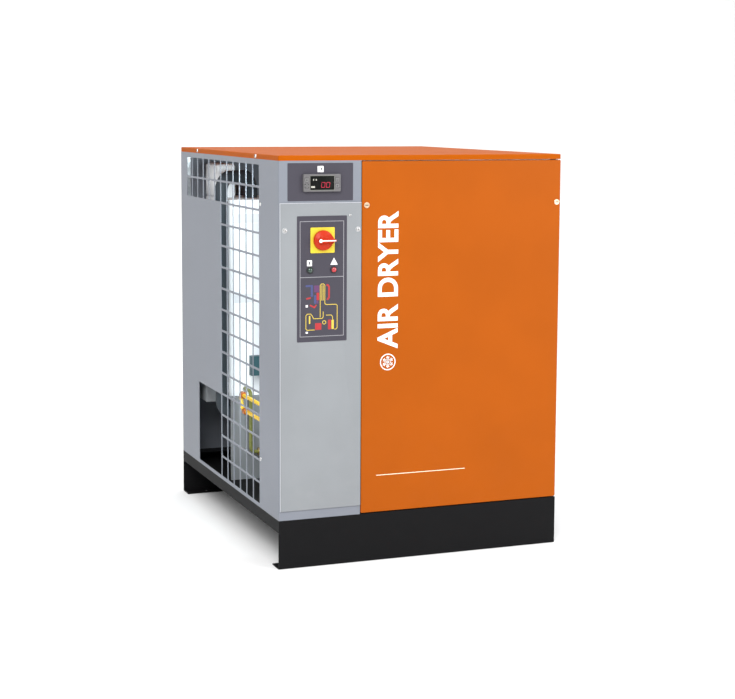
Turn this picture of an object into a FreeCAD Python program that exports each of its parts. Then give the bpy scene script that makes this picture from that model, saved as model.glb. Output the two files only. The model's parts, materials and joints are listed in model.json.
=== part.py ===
"""Refrigerated compressed-air dryer: a floor-standing sheet-metal cabinet with its cooling circuit.

Millimetres. The cabinet's own corner frame (x from the left side, y from the front face to the
rear, z up from the floor) is used for every place below; OFFSET then moves everything so that the
origin is the centre of the footprint, on the floor. -Y is the front, +X the right-hand side.
"""
import FreeCAD, Part
import math
import os
import Sketcher

os.makedirs("parts", exist_ok=True)
DOC = FreeCAD.newDocument("air_dryer")
SHEET = DOC.addObject("Spreadsheet::Sheet", "Sizes")

# ------------------------------------------------------------------ driving dimensions
DIMENSIONS = [
    # cabinet
    ("cabinet_width", 732), ("cabinet_depth", 874), ("cabinet_height", 980), ("skin", 1.5),
    ("bend_radius", 3), ("frame_sheet", 2), ("post_leg", 25), ("post_front", 18), ("rail_web", 20),
    # base
    ("base_height", 118), ("base_sheet", 3), ("foot_flange", 50), ("rim_flange", 45),
    ("pan_side", 30), ("anchor_hole", 7), ("anchor_inset_x", 60), ("anchor_inset_y", 28),
    # lid and left-hand column
    ("lid_flange", 12.5), ("column_width", 205), ("seam", 2), ("panel_low", 120),
    ("panel_high", 965.5), ("panel_return", 15), ("cover_left", 4), ("cover_low", 140),
    ("cover_high", 868), ("cover_depth", 3), ("bay_left", 28), ("bay_right", 191),
    ("bay_low", 150), ("bay_high", 858),
    # grille of rounded square cells
    ("pitch", 55.5), ("grille_bar", 5), ("cell_corner", 4), ("grille_front", 145.5),
    ("grille_low", 121.5), ("band_low", 843), ("band_columns", 12), ("band_rows", 2),
    ("column_columns", 6), ("column_rows", 13), ("access_high", 343.5), ("intake_cells", 9),
    ("intake_front", 230), ("intake_low", 270),
    # controls
    ("display_x", 104), ("display_z", 916), ("bezel_width", 92), ("bezel_height", 41),
    ("bezel_proud", 8), ("display_body_width", 71), ("display_body_height", 29),
    ("display_body_depth", 60), ("window_left", 75), ("window_right", 134), ("window_half", 16),
    ("key_size", 9), ("key_travel", 0.8), ("key_gap", 12), ("label_sheet", 0.5),
    ("knob_x", 107), ("knob_z", 782), ("knob_radius", 23.5), ("knob_reach", 27), ("grip_tip", 27.5),
    ("disc_thick", 9), ("plate_side", 60), ("plate_x", 107), ("plate_sheet", 1.2), ("switch_body_side", 48),
    ("switch_body_depth", 55), ("stem_radius", 5), ("stem_gap", 0.1), ("lamp_z", 712),
    ("green_lamp_x", 76), ("red_lamp_x", 135), ("lamp_radius", 6.5), ("lamp_bezel", 8),
    # electrical box
    ("box_front", 4), ("box_depth", 142), ("box_sheet", 1.2),
    # quarter-turn fasteners
    ("fastener_left_x", 219), ("fastener_right_x", 722), ("fastener_z", 862),
    ("fastener_head", 7), ("fastener_stud", 3), ("stud_gap", 0.3),
    # refrigeration circuit
    ("compressor_x", 400), ("compressor_y", 330), ("compressor_radius", 112),
    ("compressor_tall", 330), ("mount_tall", 22), ("fan_x", 573),
    ("coil_side", 500), ("coil_thick", 60), ("coil_right", 700), ("fan_radius", 205),
    ("fan_gap", 10), ("hub_radius", 62), ("fan_thick", 50), ("shaft_radius", 6),
    # heat exchanger
    ("block_left", 58), ("block_right", 320), ("block_front", 600), ("block_rear", 835),
    ("block_low", 315), ("block_high", 845), ("block_corner", 14), ("foam_wall", 25),
    ("port_x", 190), ("inlet_z", 730), ("outlet_z", 430), ("port_bore", 25),
    ("thread_radius", 28.33), ("thread_length", 24), ("connector_radius", 38),
    # condensate drain
    ("valve_x", 150), ("valve_y", 546), ("valve_z", 170),
]
for row, (alias, number) in enumerate(DIMENSIONS, start=1):
    SHEET.set(f"A{row}", alias)
    SHEET.set(f"B{row}", str(number))
    SHEET.setAlias(f"B{row}", alias)
DOC.recompute()


class Size:
    """A number that remembers its spreadsheet formula, so that arithmetic on it stays bound."""

    def __init__(self, text, value):
        self.text = text
        self.value = float(value)

    def __add__(self, other):
        return Size(f"({self.text} + {text_of(other)})", self.value + value_of(other))

    __radd__ = __add__

    def __sub__(self, other):
        return Size(f"({self.text} - ({text_of(other)}))", self.value - value_of(other))

    def __rsub__(self, other):
        return Size(f"({text_of(other)} - {self.text})", value_of(other) - self.value)

    def __mul__(self, other):
        return Size(f"({self.text} * {text_of(other)})", self.value * value_of(other))

    __rmul__ = __mul__

    def __truediv__(self, other):
        return Size(f"({self.text} / {text_of(other)})", self.value / value_of(other))

    def __neg__(self):
        return Size(f"(0 - {self.text})", -self.value)


def text_of(thing):
    return thing.text if isinstance(thing, Size) else str(thing)


def value_of(thing):
    return thing.value if isinstance(thing, Size) else float(thing)


SIZES = {alias: Size(f"Sizes.{alias}", number) for alias, number in DIMENSIONS}


def size(name):
    return SIZES[name]


W, D, H = size("cabinet_width"), size("cabinet_depth"), size("cabinet_height")
SKIN, BASE, SHEET3 = size("skin"), size("base_height"), size("base_sheet")
FLANGE_LOW = H - size("lid_flange")
CONNECTOR_REAR = D + size("thread_length")
OFFSET = (-(W / 2), (size("knob_reach") - CONNECTOR_REAR) / 2, Size("0", 0))
NODES = {}
TURNS = {"X": (0, 1, 0, 90), "-X": (0, 1, 0, -90), "Y": (1, 0, 0, -90), "-Y": (1, 0, 0, 90),
         "Z": (0, 0, 1, 0), "-Z": (1, 0, 0, 180)}


# ------------------------------------------------------------------ making helpers
def node(name, thing):
    """Give a finished sub-part its own label and keep it for export."""
    thing.Label = name
    NODES[name] = thing
    return thing


def bind(thing, prop, amount):
    thing.setExpression(prop, text_of(amount))


def put(thing, x=0, y=0, z=0, turn=None):
    """Place a thing at a point of the cabinet's corner frame."""
    if turn:
        ax, ay, az, angle = turn
        spin = FreeCAD.Rotation(FreeCAD.Vector(ax, ay, az), angle)
        thing.Placement = FreeCAD.Placement(FreeCAD.Vector(), spin)
    for letter, amount, shift in zip("xyz", (x, y, z), OFFSET):
        thing.setExpression(f"Placement.Base.{letter}", text_of(shift + amount))
    return thing


def block(x0, x1, y0, y1, z0, z1):
    """A rectangular block between two corners."""
    thing = DOC.addObject("Part::Box", "Block")
    for prop, low, high in (("Length", x0, x1), ("Width", y0, y1), ("Height", z0, z1)):
        bind(thing, prop, high - low)
    return put(thing, x0, y0, z0)


def rod(axis, x, y, z, radius, length):
    """A round bar that starts at a point and runs along an axis."""
    thing = DOC.addObject("Part::Cylinder", "Rod")
    bind(thing, "Radius", radius)
    bind(thing, "Height", length)
    return put(thing, x, y, z, TURNS[axis])


def fuse(*parts):
    thing = DOC.addObject("Part::MultiFuse", "Fuse")
    thing.Shapes = list(parts)
    return thing


def cut(base, *tools):
    thing = DOC.addObject("Part::Cut", "Cut")
    thing.Base = base
    thing.Tool = tools[0] if len(tools) == 1 else fuse(*tools)
    return thing


def group(*parts):
    """Identical loose pieces that share a node."""
    thing = DOC.addObject("Part::Compound", "Group")
    thing.Links = list(parts)
    return thing


def new_body(x=0, y=0, z=0):
    return put(DOC.addObject("PartDesign::Body", "Body"), x, y, z)


def sketch(body, plane, at=0):
    """A sketch on one of the body's origin planes, moved along the plane's positive axis."""
    drawing = body.newObject("Sketcher::SketchObject", "Sketch")
    base = next(item for item in body.Origin.OriginFeatures if item.Role == plane + "_Plane")
    drawing.AttachmentSupport = [(base, "")]
    drawing.MapMode = "FlatFace"
    bind(drawing, "AttachmentOffset.Base.z", -at if plane == "XZ" else 0 + at)
    return drawing


def pin(drawing, geometry, point, x, y):
    """Hold one point of a sketch at its place, bound to the spreadsheet."""
    for kind, amount in (("DistanceX", x), ("DistanceY", y)):
        rule = Sketcher.Constraint(kind, -1, 1, geometry, point, value_of(amount))
        index = drawing.addConstraint(rule)
        if isinstance(amount, Size):
            drawing.setExpression(f"Constraints[{index}]", amount.text)


def outline(drawing, points):
    """A closed outline of straight edges."""
    first = drawing.GeometryCount
    corners = [FreeCAD.Vector(value_of(x), value_of(y), 0) for x, y in points]
    count = len(corners)
    for i in range(count):
        drawing.addGeometry(Part.LineSegment(corners[i], corners[(i + 1) % count]))
    for i, (x, y) in enumerate(points):
        joint = Sketcher.Constraint("Coincident", first + i, 2, first + (i + 1) % count, 1)
        drawing.addConstraint(joint)
        pin(drawing, first + i, 1, x, y)


def rectangle(drawing, x0, y0, x1, y1):
    outline(drawing, [(x0, y0), (x1, y0), (x1, y1), (x0, y1)])


def circle(drawing, x, y, radius):
    centre = FreeCAD.Vector(value_of(x), value_of(y), 0)
    ring = drawing.addGeometry(Part.Circle(centre, FreeCAD.Vector(0, 0, 1), value_of(radius)))
    pin(drawing, ring, 3, x, y)
    index = drawing.addConstraint(Sketcher.Constraint("Radius", ring, value_of(radius)))
    if isinstance(radius, Size):
        drawing.setExpression(f"Constraints[{index}]", radius.text)


def rounded(drawing, x0, y0, x1, y1, r):
    """A rectangle with round corners: four edges joined by four quarter arcs."""
    edges = [((x0 + r, y0), (x1 - r, y0)), ((x1, y0 + r), (x1, y1 - r)),
             ((x1 - r, y1), (x0 + r, y1)), ((x0, y1 - r), (x0, y0 + r))]
    centres = [(x1 - r, y0 + r), (x1 - r, y1 - r), (x0 + r, y1 - r), (x0 + r, y0 + r)]
    first = drawing.GeometryCount
    for start, end in edges:
        a, b = (FreeCAD.Vector(value_of(p[0]), value_of(p[1]), 0) for p in (start, end))
        drawing.addGeometry(Part.LineSegment(a, b))
    for i, (start, end) in enumerate(edges):
        pin(drawing, first + i, 1, *start)
        pin(drawing, first + i, 2, *end)
    for i, (x, y) in enumerate(centres):
        middle = FreeCAD.Vector(value_of(x), value_of(y), 0)
        ring = Part.Circle(middle, FreeCAD.Vector(0, 0, 1), value_of(r))
        arc = Part.ArcOfCircle(ring, math.radians(-90 + 90 * i), math.radians(90 * i))
        corner = drawing.addGeometry(arc)
        drawing.addConstraint(Sketcher.Constraint("Coincident", first + i, 2, corner, 1))
        drawing.addConstraint(Sketcher.Constraint("Coincident", corner, 2, first + (i + 1) % 4, 1))
        rule = Sketcher.Constraint("DistanceX", -1, 1, corner, 3, value_of(x))
        index = drawing.addConstraint(rule)
        drawing.setExpression(f"Constraints[{index}]", text_of(x))


def pad(body, drawing, plane, length):
    """Raise a sketch along the positive axis."""
    thing = body.newObject("PartDesign::Pad", "Pad")
    thing.Profile = drawing
    bind(thing, "Length", length)
    thing.Reversed = plane == "XZ"
    DOC.recompute()
    return thing


def pocket(body, drawing, plane, length):
    """Cut a sketch along the positive axis, and make sure that it took material away."""
    before = body.Shape.Volume
    thing = body.newObject("PartDesign::Pocket", "Pocket")
    thing.Profile = drawing
    bind(thing, "Length", length)
    thing.Reversed = plane != "XZ"
    DOC.recompute()
    assert body.Shape.Volume < before - 1e-3, f"{body.Label}: the pocket cut nothing"
    return thing


def round_edges(body, radius, wanted):
    """Fillet the edges of the body's last feature that a test picks."""
    base = body.Tip
    names = [f"Edge{i}" for i, edge in enumerate(base.Shape.Edges, start=1) if wanted(edge)]
    assert names, "no edge to round"
    thing = body.newObject("PartDesign::Fillet", "Fillet")
    thing.Base = (base, names)
    bind(thing, "Radius", radius)
    DOC.recompute()
    return thing


def along(letter, low=None, **fixed):
    """A test for straight edges along an axis, at given coordinates of the body's own frame."""
    def wanted(edge):
        if edge.Curve.TypeId != "Part::GeomLine":
            return False
        way = getattr(edge.tangentAt(edge.FirstParameter), letter)
        if abs(abs(way) - 1) > 1e-6 or (low is not None and edge.Length < low):
            return False
        middle = edge.CenterOfMass
        return all(any(abs(getattr(middle, axis) - value_of(spot)) < 1e-3 for spot in spots)
                   for axis, spots in fixed.items())
    return wanted


def turned(points, x, y, z, axis):
    """A turned piece: points are (radius, distance along the axis)."""
    body = put(DOC.addObject("PartDesign::Body", "Body"), x, y, z, TURNS[axis])
    drawing = sketch(body, "XZ")
    outline(drawing, points)
    spin = body.newObject("PartDesign::Revolution", "Turn")
    spin.Profile = drawing
    spin.ReferenceAxis = (drawing, ["V_Axis"])
    spin.Angle = 360
    DOC.recompute()
    return body


def tube(points, radius, bend):
    """A bent pipe as a solid: straight runs joined by tangent arcs, swept with a round section."""
    spots = [FreeCAD.Vector(*(value_of(c) + value_of(o) for c, o in zip(p, OFFSET)))
             for p in points]
    edges, start = [], spots[0]
    for before, corner, after in zip(spots, spots[1:], spots[2:]):
        into = (corner - before).normalize()
        away = (after - corner).normalize()
        half = into.getAngle(away) / 2
        reach = bend * math.tan(half)
        first, last = corner - into * reach, corner + away * reach
        inward = (away - into).normalize()
        middle = corner + inward * (bend / math.cos(half) - bend)
        edges.append(Part.LineSegment(start, first).toShape())
        edges.append(Part.Arc(first, middle, last).toShape())
        start = last
    edges.append(Part.LineSegment(start, spots[-1]).toShape())
    path = Part.Wire(edges)
    way = (spots[1] - spots[0]).normalize()
    section = Part.Wire([Part.Circle(spots[0], way, value_of(radius)).toShape()])
    solid = path.makePipeShell([section], True, False)
    expected = math.pi * value_of(radius) ** 2 * path.Length
    assert abs(solid.Volume / expected - 1) < 0.01, "the pipe lost its section"
    thing = DOC.addObject("Part::Feature", "Tube")
    thing.Shape = solid
    return thing


# ------------------------------------------------------------------ base
def base_channel(name, front):
    """A folded C-channel across the cabinet, with two anchor holes in its foot."""
    face = 0 if front else D
    sign = 1 if front else -1
    body = new_body()
    drawing = sketch(body, "YZ")
    foot, rim = size("foot_flange"), size("rim_flange")
    outline(drawing, [(face, 0), (face + sign * foot, 0), (face + sign * foot, SHEET3),
                      (face + sign * SHEET3, SHEET3), (face + sign * SHEET3, BASE - SHEET3),
                      (face + sign * rim, BASE - SHEET3), (face + sign * rim, BASE),
                      (face, BASE)])
    pad(body, drawing, "YZ", W)
    holes = sketch(body, "XY")
    inset = size("anchor_inset_x")
    for x in (inset, W - inset):
        circle(holes, x, face + sign * size("anchor_inset_y"), size("anchor_hole"))
    pocket(body, holes, "XY", SHEET3)
    round_edges(body, size("bend_radius"), along("x", y=[face], z=[0]))
    return node(name, body)


def base_pan():
    """The floor tray between the channels, with a folded side and a return along both sides."""
    low = BASE - size("pan_side")
    floor = block(0, W, SHEET3, D - SHEET3, low, low + SHEET3)
    sides = []
    rim = size("rim_flange")
    for x0, x1, r0, r1 in ((0, SHEET3, 0, 15), (W - SHEET3, W, W - 15, W)):
        sides.append(block(x0, x1, SHEET3, D - SHEET3, low + SHEET3, BASE - SHEET3))
        sides.append(block(r0, r1, rim, D - rim, BASE - SHEET3, BASE))
    tray = fuse(floor, *sides)
    return node("base_pan", cut(tray, rod("Z", 380, 700, low - 5, 6, 20)))


# ------------------------------------------------------------------ skin
def left_panel():
    """One sheet folded round the front-left corner: the column's face and the left side."""
    body = new_body()
    column = size("column_width")
    drawing = sketch(body, "XY", BASE)
    outline(drawing, [(0, 0), (column, 0), (column, SKIN), (SKIN, SKIN), (SKIN, D - SKIN),
                      (0, D - SKIN)])
    pad(body, drawing, "XY", FLANGE_LOW - BASE)
    face = sketch(body, "XZ")
    rectangle(face, size("bay_left"), size("bay_low"), size("bay_right"), size("bay_high"))
    half_w, half_h = size("display_body_width") / 2, size("display_body_height") / 2
    x, z = size("display_x"), size("display_z")
    rectangle(face, x - half_w, z - half_h, x + half_w, z + half_h)
    pocket(body, face, "XZ", SKIN)
    side = sketch(body, "YZ")
    front, pitch, bar = size("grille_front"), size("pitch"), size("grille_bar")
    low, band = size("grille_low"), size("band_low")
    mid = front + pitch * size("column_columns") + bar
    rear = front + pitch * size("band_columns") + bar
    high = band + pitch * size("band_rows") + bar
    outline(side, [(front, low), (mid, low), (mid, band), (rear, band), (rear, high),
                   (front, high)])
    pocket(body, side, "YZ", SKIN)
    access = sketch(body, "YZ")
    rounded(access, mid, low + bar, mid + pitch * 4 - bar, size("access_high"), size("cell_corner"))
    pocket(body, access, "YZ", SKIN)
    round_edges(body, size("bend_radius"), along("z", x=[0], y=[0]))
    round_edges(body, SKIN, along("z", x=[SKIN], y=[SKIN]))
    return node("left_panel", body)


def cell_grid(x, front, low, columns, rows):
    """A flat punched grille: bars round a grid of rounded square cells."""
    pitch, bar = size("pitch"), size("grille_bar")
    body = new_body(x)
    plate = sketch(body, "YZ")
    rectangle(plate, front, low, front + pitch * columns + bar, low + pitch * rows + bar)
    pad(body, plate, "YZ", SKIN)
    cell = sketch(body, "YZ")
    rounded(cell, front + bar, low + bar, front + pitch, low + pitch, size("cell_corner"))
    hole = pocket(body, cell, "YZ", SKIN)
    grid = body.newObject("PartDesign::MultiTransform", "Grid")
    grid.Originals = [hole]
    steps = []
    for axis, count in (("H_Axis", columns), ("V_Axis", rows)):
        step = body.newObject("PartDesign::LinearPattern", "Row")
        step.Direction = (cell, [axis])
        bind(step, "Length", pitch * (count - 1))
        bind(step, "Occurrences", count)
        steps.append(step)
    grid.Transformations = steps
    body.Tip = grid
    DOC.recompute()
    return body


def left_grille():
    """The grille of the left side: a wide band under the lid and a column down to the base."""
    front = size("grille_front")
    band = cell_grid(0, front, size("band_low"), size("band_columns"), size("band_rows"))
    column = new_column(front)
    return node("left_grille", group(band, column))


def new_column(front):
    """The column stops where the band's lowest bar begins."""
    grid = cell_grid(0, front, size("grille_low"), size("column_columns"), size("column_rows"))
    pitch = size("pitch")
    top = size("band_low")
    over = block(-5, 10, front - 5, front + pitch * 8, top, top + 60)
    return cut(grid, over)


def right_panel():
    """The flat right side, with the window that the intake grille fills."""
    body = new_body(W - SKIN)
    plate = sketch(body, "YZ")
    rectangle(plate, size("panel_return") + size("seam"), BASE, D - SKIN, FLANGE_LOW)
    pad(body, plate, "YZ", SKIN)
    window = sketch(body, "YZ")
    front, low = size("intake_front"), size("intake_low")
    span = size("pitch") * size("intake_cells") + size("grille_bar")
    rectangle(window, front, low, front + span, low + span)
    pocket(body, window, "YZ", SKIN)
    return node("right_panel", body)


def rear_panel():
    """The flat back, drilled for the two air connectors, the supply cable and the drain."""
    body = new_body()
    plate = sketch(body, "XZ", D - SKIN)
    rectangle(plate, 0, BASE, W, FLANGE_LOW)
    pad(body, plate, "XZ", SKIN)
    holes = sketch(body, "XZ", D - SKIN)
    for z in (size("inlet_z"), size("outlet_z")):
        circle(holes, size("port_x"), z, size("connector_radius"))
    circle(holes, 560, 170, 10)
    circle(holes, 380, 150, 8)
    pocket(body, holes, "XZ", SKIN)
    return node("rear_panel", body)


def top_cover():
    """The lid: a shallow tray turned upside down, with soft outer edges."""
    body = new_body()
    plate = sketch(body, "XY", FLANGE_LOW)
    rectangle(plate, 0, 0, W, D)
    pad(body, plate, "XY", size("lid_flange"))
    hollow = sketch(body, "XY", FLANGE_LOW)
    rectangle(hollow, SKIN, SKIN, W - SKIN, D - SKIN)
    pocket(body, hollow, "XY", size("lid_flange") - SKIN)
    round_edges(body, size("bend_radius"), along("z", x=[0, W], y=[0, D]))
    base = body.Tip
    outer = [f"Edge{i}" for i, edge in enumerate(base.Shape.Edges, start=1)
             if abs(edge.CenterOfMass.z - value_of(H)) < 1e-3]
    soft = body.newObject("PartDesign::Fillet", "Soft")
    soft.Base = (base, outer)
    bind(soft, "Radius", size("bend_radius") * 0.8)
    DOC.recompute()
    return node("top_cover", body)


def top_rails():
    """Four angle rails under the lid, resting on the posts."""
    sheet, leg, web = size("frame_sheet"), size("post_leg") - 5, size("rail_web")
    low = H - SKIN - web
    high = low + web
    front, rear = size("post_front"), D - SKIN
    rails = []
    for web0, leg0 in ((SKIN, SKIN + sheet), (W - SKIN - sheet, W - SKIN - leg)):
        upright = block(web0, web0 + sheet, front, rear, low, high)
        shelf = block(leg0, leg0 + leg - sheet, front, rear, low, low + sheet)
        rails.append(fuse(upright, shelf))
    for web0, leg0 in ((front, front + sheet), (rear - sheet, rear - leg)):
        left, right = SKIN + leg, W - SKIN - leg
        upright = block(left, right, web0, web0 + sheet, low, high)
        shelf = block(left, right, leg0, leg0 + leg - sheet, low, low + sheet)
        rails.append(fuse(upright, shelf))
    return node("top_rails", group(*rails))


def angle_post(x, y, to_right, to_rear):
    """An upright angle with its corner at x, y and its legs pointing inwards."""
    sheet, leg = size("frame_sheet"), size("post_leg")
    high = H - SKIN - size("rail_web")
    x0, x1 = (x, x + leg) if to_right else (x - leg, x)
    y0, y1 = (y, y + leg) if to_rear else (y - leg, y)
    sx0, sx1 = (x, x + sheet) if to_right else (x - sheet, x)
    fy0, fy1 = (y, y + sheet) if to_rear else (y - sheet, y)
    return fuse(block(x0, x1, fy0, fy1, BASE, high), block(sx0, sx1, y0, y1, BASE, high))


def posts():
    front, rear = size("post_front"), D - SKIN
    corners = [angle_post(SKIN, front, True, True), angle_post(W - SKIN, front, False, True),
               angle_post(SKIN, rear, True, False), angle_post(W - SKIN, rear, False, False)]
    centre = angle_post(size("column_width") + size("seam"), front, True, True)
    return node("cabinet_posts", group(centre, *corners))


# ------------------------------------------------------------------ lift-off front panel
def front_panel():
    """The coloured front: a shallow tray that hangs on two quarter-turn fasteners."""
    body = new_body()
    left, deep = size("column_width") + size("seam"), size("panel_return")
    low, high = size("panel_low"), size("panel_high")
    plate = sketch(body, "XZ")
    rectangle(plate, left, low, W, high)
    pad(body, plate, "XZ", deep)
    hollow = sketch(body, "XZ", SKIN)
    rectangle(hollow, left + SKIN, low + SKIN, W - SKIN, high - SKIN)
    pocket(body, hollow, "XZ", deep - SKIN)
    holes = sketch(body, "XZ")
    for x in (size("fastener_left_x"), size("fastener_right_x")):
        circle(holes, x, size("fastener_z"), size("fastener_stud") + size("stud_gap"))
    pocket(body, holes, "XZ", SKIN)
    round_edges(body, size("bend_radius"), along("y", x=[left, W], z=[low, high]))
    base = body.Tip
    outer = [f"Edge{i}" for i, edge in enumerate(base.Shape.Edges, start=1)
             if abs(edge.CenterOfMass.y) < 1e-3 and not edge.isClosed()]
    soft = body.newObject("PartDesign::Fillet", "Soft")
    soft.Base = (base, outer)
    bind(soft, "Radius", size("bend_radius") * 0.6)
    DOC.recompute()
    return node("front_panel", body)


def front_panel_foam():
    """Sound-absorbing foam glued inside the front panel, clear of the fasteners."""
    sheet = block(250, 695, SKIN, SKIN + 12, 140, 940)
    return node("front_panel_foam", sheet)


def panel_fastener(name, x):
    """A slotted quarter-turn stud."""
    z, stud = size("fastener_z"), size("fastener_stud")
    head = rod("Y", x, -2, z, size("fastener_head"), 2)
    shank = rod("Y", x, 0, z, stud, size("panel_return"))
    slot = block(x - 4.5, x + 4.5, -2.5, -1, z - 0.8, z + 0.8)
    return node(name, cut(fuse(head, shank), slot))


def fastener_receptacles():
    """Sprung sockets on the posts that take the ends of the studs."""
    sockets = []
    z, front = size("fastener_z"), size("post_front")
    for x in (size("fastener_left_x"), size("fastener_right_x")):
        housing = block(x - 7, x + 7, front - 10, front, z - 14, z + 14)
        bore = rod("Y", x, front - 11, z, size("fastener_stud") + 0.5, 9)
        sockets.append(cut(housing, bore))
    return node("fastener_receptacles", group(*sockets))


# ------------------------------------------------------------------ control column
def control_cover():
    """The removable cover of the wiring bay, standing a little proud of the column."""
    body = new_body()
    deep = size("cover_depth")
    left, right = size("cover_left"), size("column_width")
    low, high = size("cover_low"), size("cover_high")
    plate = sketch(body, "XZ", -deep)
    rectangle(plate, left, low, right, high)
    pad(body, plate, "XZ", deep)
    hollow = sketch(body, "XZ", -deep + SKIN)
    rectangle(hollow, left + SKIN, low + SKIN, right - SKIN, high - SKIN)
    pocket(body, hollow, "XZ", deep - SKIN)
    holes = sketch(body, "XZ", -deep)
    circle(holes, size("knob_x"), size("knob_z"), 11)
    for x in (size("green_lamp_x"), size("red_lamp_x")):
        circle(holes, x, size("lamp_z"), size("lamp_radius"))
    pocket(body, holes, "XZ", SKIN)
    round_edges(body, size("bend_radius") / 2, along("y", x=[left, right], z=[low, high]))
    return node("control_cover", body)


def label_plate(name, front, x0, x1, z0, z1, holes, window=None):
    """A thin printed plate with round holes, and a rectangular one if asked."""
    body = new_body()
    thick = size("label_sheet")
    plate = sketch(body, "XZ", front - thick)
    rounded(plate, x0, z0, x1, z1, 2)
    pad(body, plate, "XZ", thick)
    cuts = sketch(body, "XZ", front - thick)
    for x, z, radius in holes:
        circle(cuts, x, z, radius)
    if window:
        rectangle(cuts, *window)
    pocket(body, cuts, "XZ", thick)
    return node(name, body)


def labels():
    half_w, half_h = size("display_body_width") / 2, size("display_body_height") / 2
    x, z = size("display_x"), size("display_z")
    window = (x - half_w, z - half_h, x + half_w, z + half_h)
    label_plate("controller_label", Size("0", 0), 22, 184, 874, 962, [], window)
    knob = (size("knob_x"), size("knob_z"), 11)
    lamps = [(spot, size("lamp_z"), size("lamp_radius"))
             for spot in (size("green_lamp_x"), size("red_lamp_x"))]
    label_plate("control_label", -size("cover_depth"), 44, 168, 543, 839, [knob, *lamps])


def key_places():
    """Centre of each controller key: two beside each end of the display."""
    side = (size("bezel_width") / 2 + (size("window_right") - size("window_left")) / 2) / 2
    rise = size("key_gap") / 2 + 1
    middle, height = size("display_x"), size("display_z")
    return {"controller_key_left_upper": (middle - side, height + rise),
            "controller_key_left_lower": (middle - side, height - rise),
            "controller_key_right_upper": (middle + side, height + rise),
            "controller_key_right_lower": (middle + side, height - rise)}


def controller():
    """The panel-mounted temperature controller, its display window and its four keys."""
    x, z, proud = size("display_x"), size("display_z"), size("bezel_proud")
    front = -size("label_sheet") - proud
    half_w, half_h = size("bezel_width") / 2, size("bezel_height") / 2
    body = new_body()
    bezel = sketch(body, "XZ", front)
    rounded(bezel, x - half_w, z - half_h, x + half_w, z + half_h, 3)
    pad(body, bezel, "XZ", proud)
    back = sketch(body, "XZ", -size("label_sheet"))
    body_w, body_h = size("display_body_width") / 2, size("display_body_height") / 2
    rectangle(back, x - body_w, z - body_h, x + body_w, z + body_h)
    pad(body, back, "XZ", size("display_body_depth"))
    recess = sketch(body, "XZ", front)
    left, right, half = size("window_left"), size("window_right"), size("window_half")
    rectangle(recess, left, z - half, right, z + half)
    pocket(body, recess, "XZ", 2)
    wells = sketch(body, "XZ", front)
    reach = size("key_size") / 2
    for kx, kz in key_places().values():
        rounded(wells, kx - reach - 0.2, kz - reach - 0.2, kx + reach + 0.2, kz + reach + 0.2, 1.2)
    pocket(body, wells, "XZ", 3)
    node("controller_housing", body)
    node("controller_window", block(left, right, front, front + 2, z - half, z + half))
    for name, (kx, kz) in key_places().items():
        key = new_body()
        face = sketch(key, "XZ", front - size("key_travel"))
        rounded(face, kx - reach, kz - reach, kx + reach, kz + reach, 1)
        pad(key, face, "XZ", 2.8)
        node(name, key)


def teardrop(drawing, x, z, big, small, reach):
    """Two arcs joined by their common tangents, the small one pointing along +x."""
    tilt = math.acos((value_of(big) - small) / value_of(reach))
    spots = [(x, big, tilt, 2 * math.pi - tilt), (x + reach, small, -tilt, tilt)]
    arcs = []
    for cx, radius, start, end in spots:
        middle = FreeCAD.Vector(value_of(cx), value_of(z), 0)
        ring = Part.Circle(middle, FreeCAD.Vector(0, 0, 1), value_of(radius))
        arc = drawing.addGeometry(Part.ArcOfCircle(ring, start, end))
        pin(drawing, arc, 3, cx, z)
        index = drawing.addConstraint(Sketcher.Constraint("Radius", arc, value_of(radius)))
        drawing.setExpression(f"Constraints[{index}]", text_of(radius))
        arcs.append(arc)
    for side in (1, -1):
        a = FreeCAD.Vector(value_of(x) + value_of(big) * math.cos(tilt),
                           value_of(z) + side * value_of(big) * math.sin(tilt), 0)
        b = FreeCAD.Vector(value_of(x + reach) + small * math.cos(tilt),
                           value_of(z) + side * small * math.sin(tilt), 0)
        line = drawing.addGeometry(Part.LineSegment(a, b))
        ends = (1, 2) if side == 1 else (2, 1)
        drawing.addConstraint(Sketcher.Constraint("Tangent", arcs[0], ends[0], line, 1))
        drawing.addConstraint(Sketcher.Constraint("Tangent", arcs[1], ends[1], line, 2))


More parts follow.
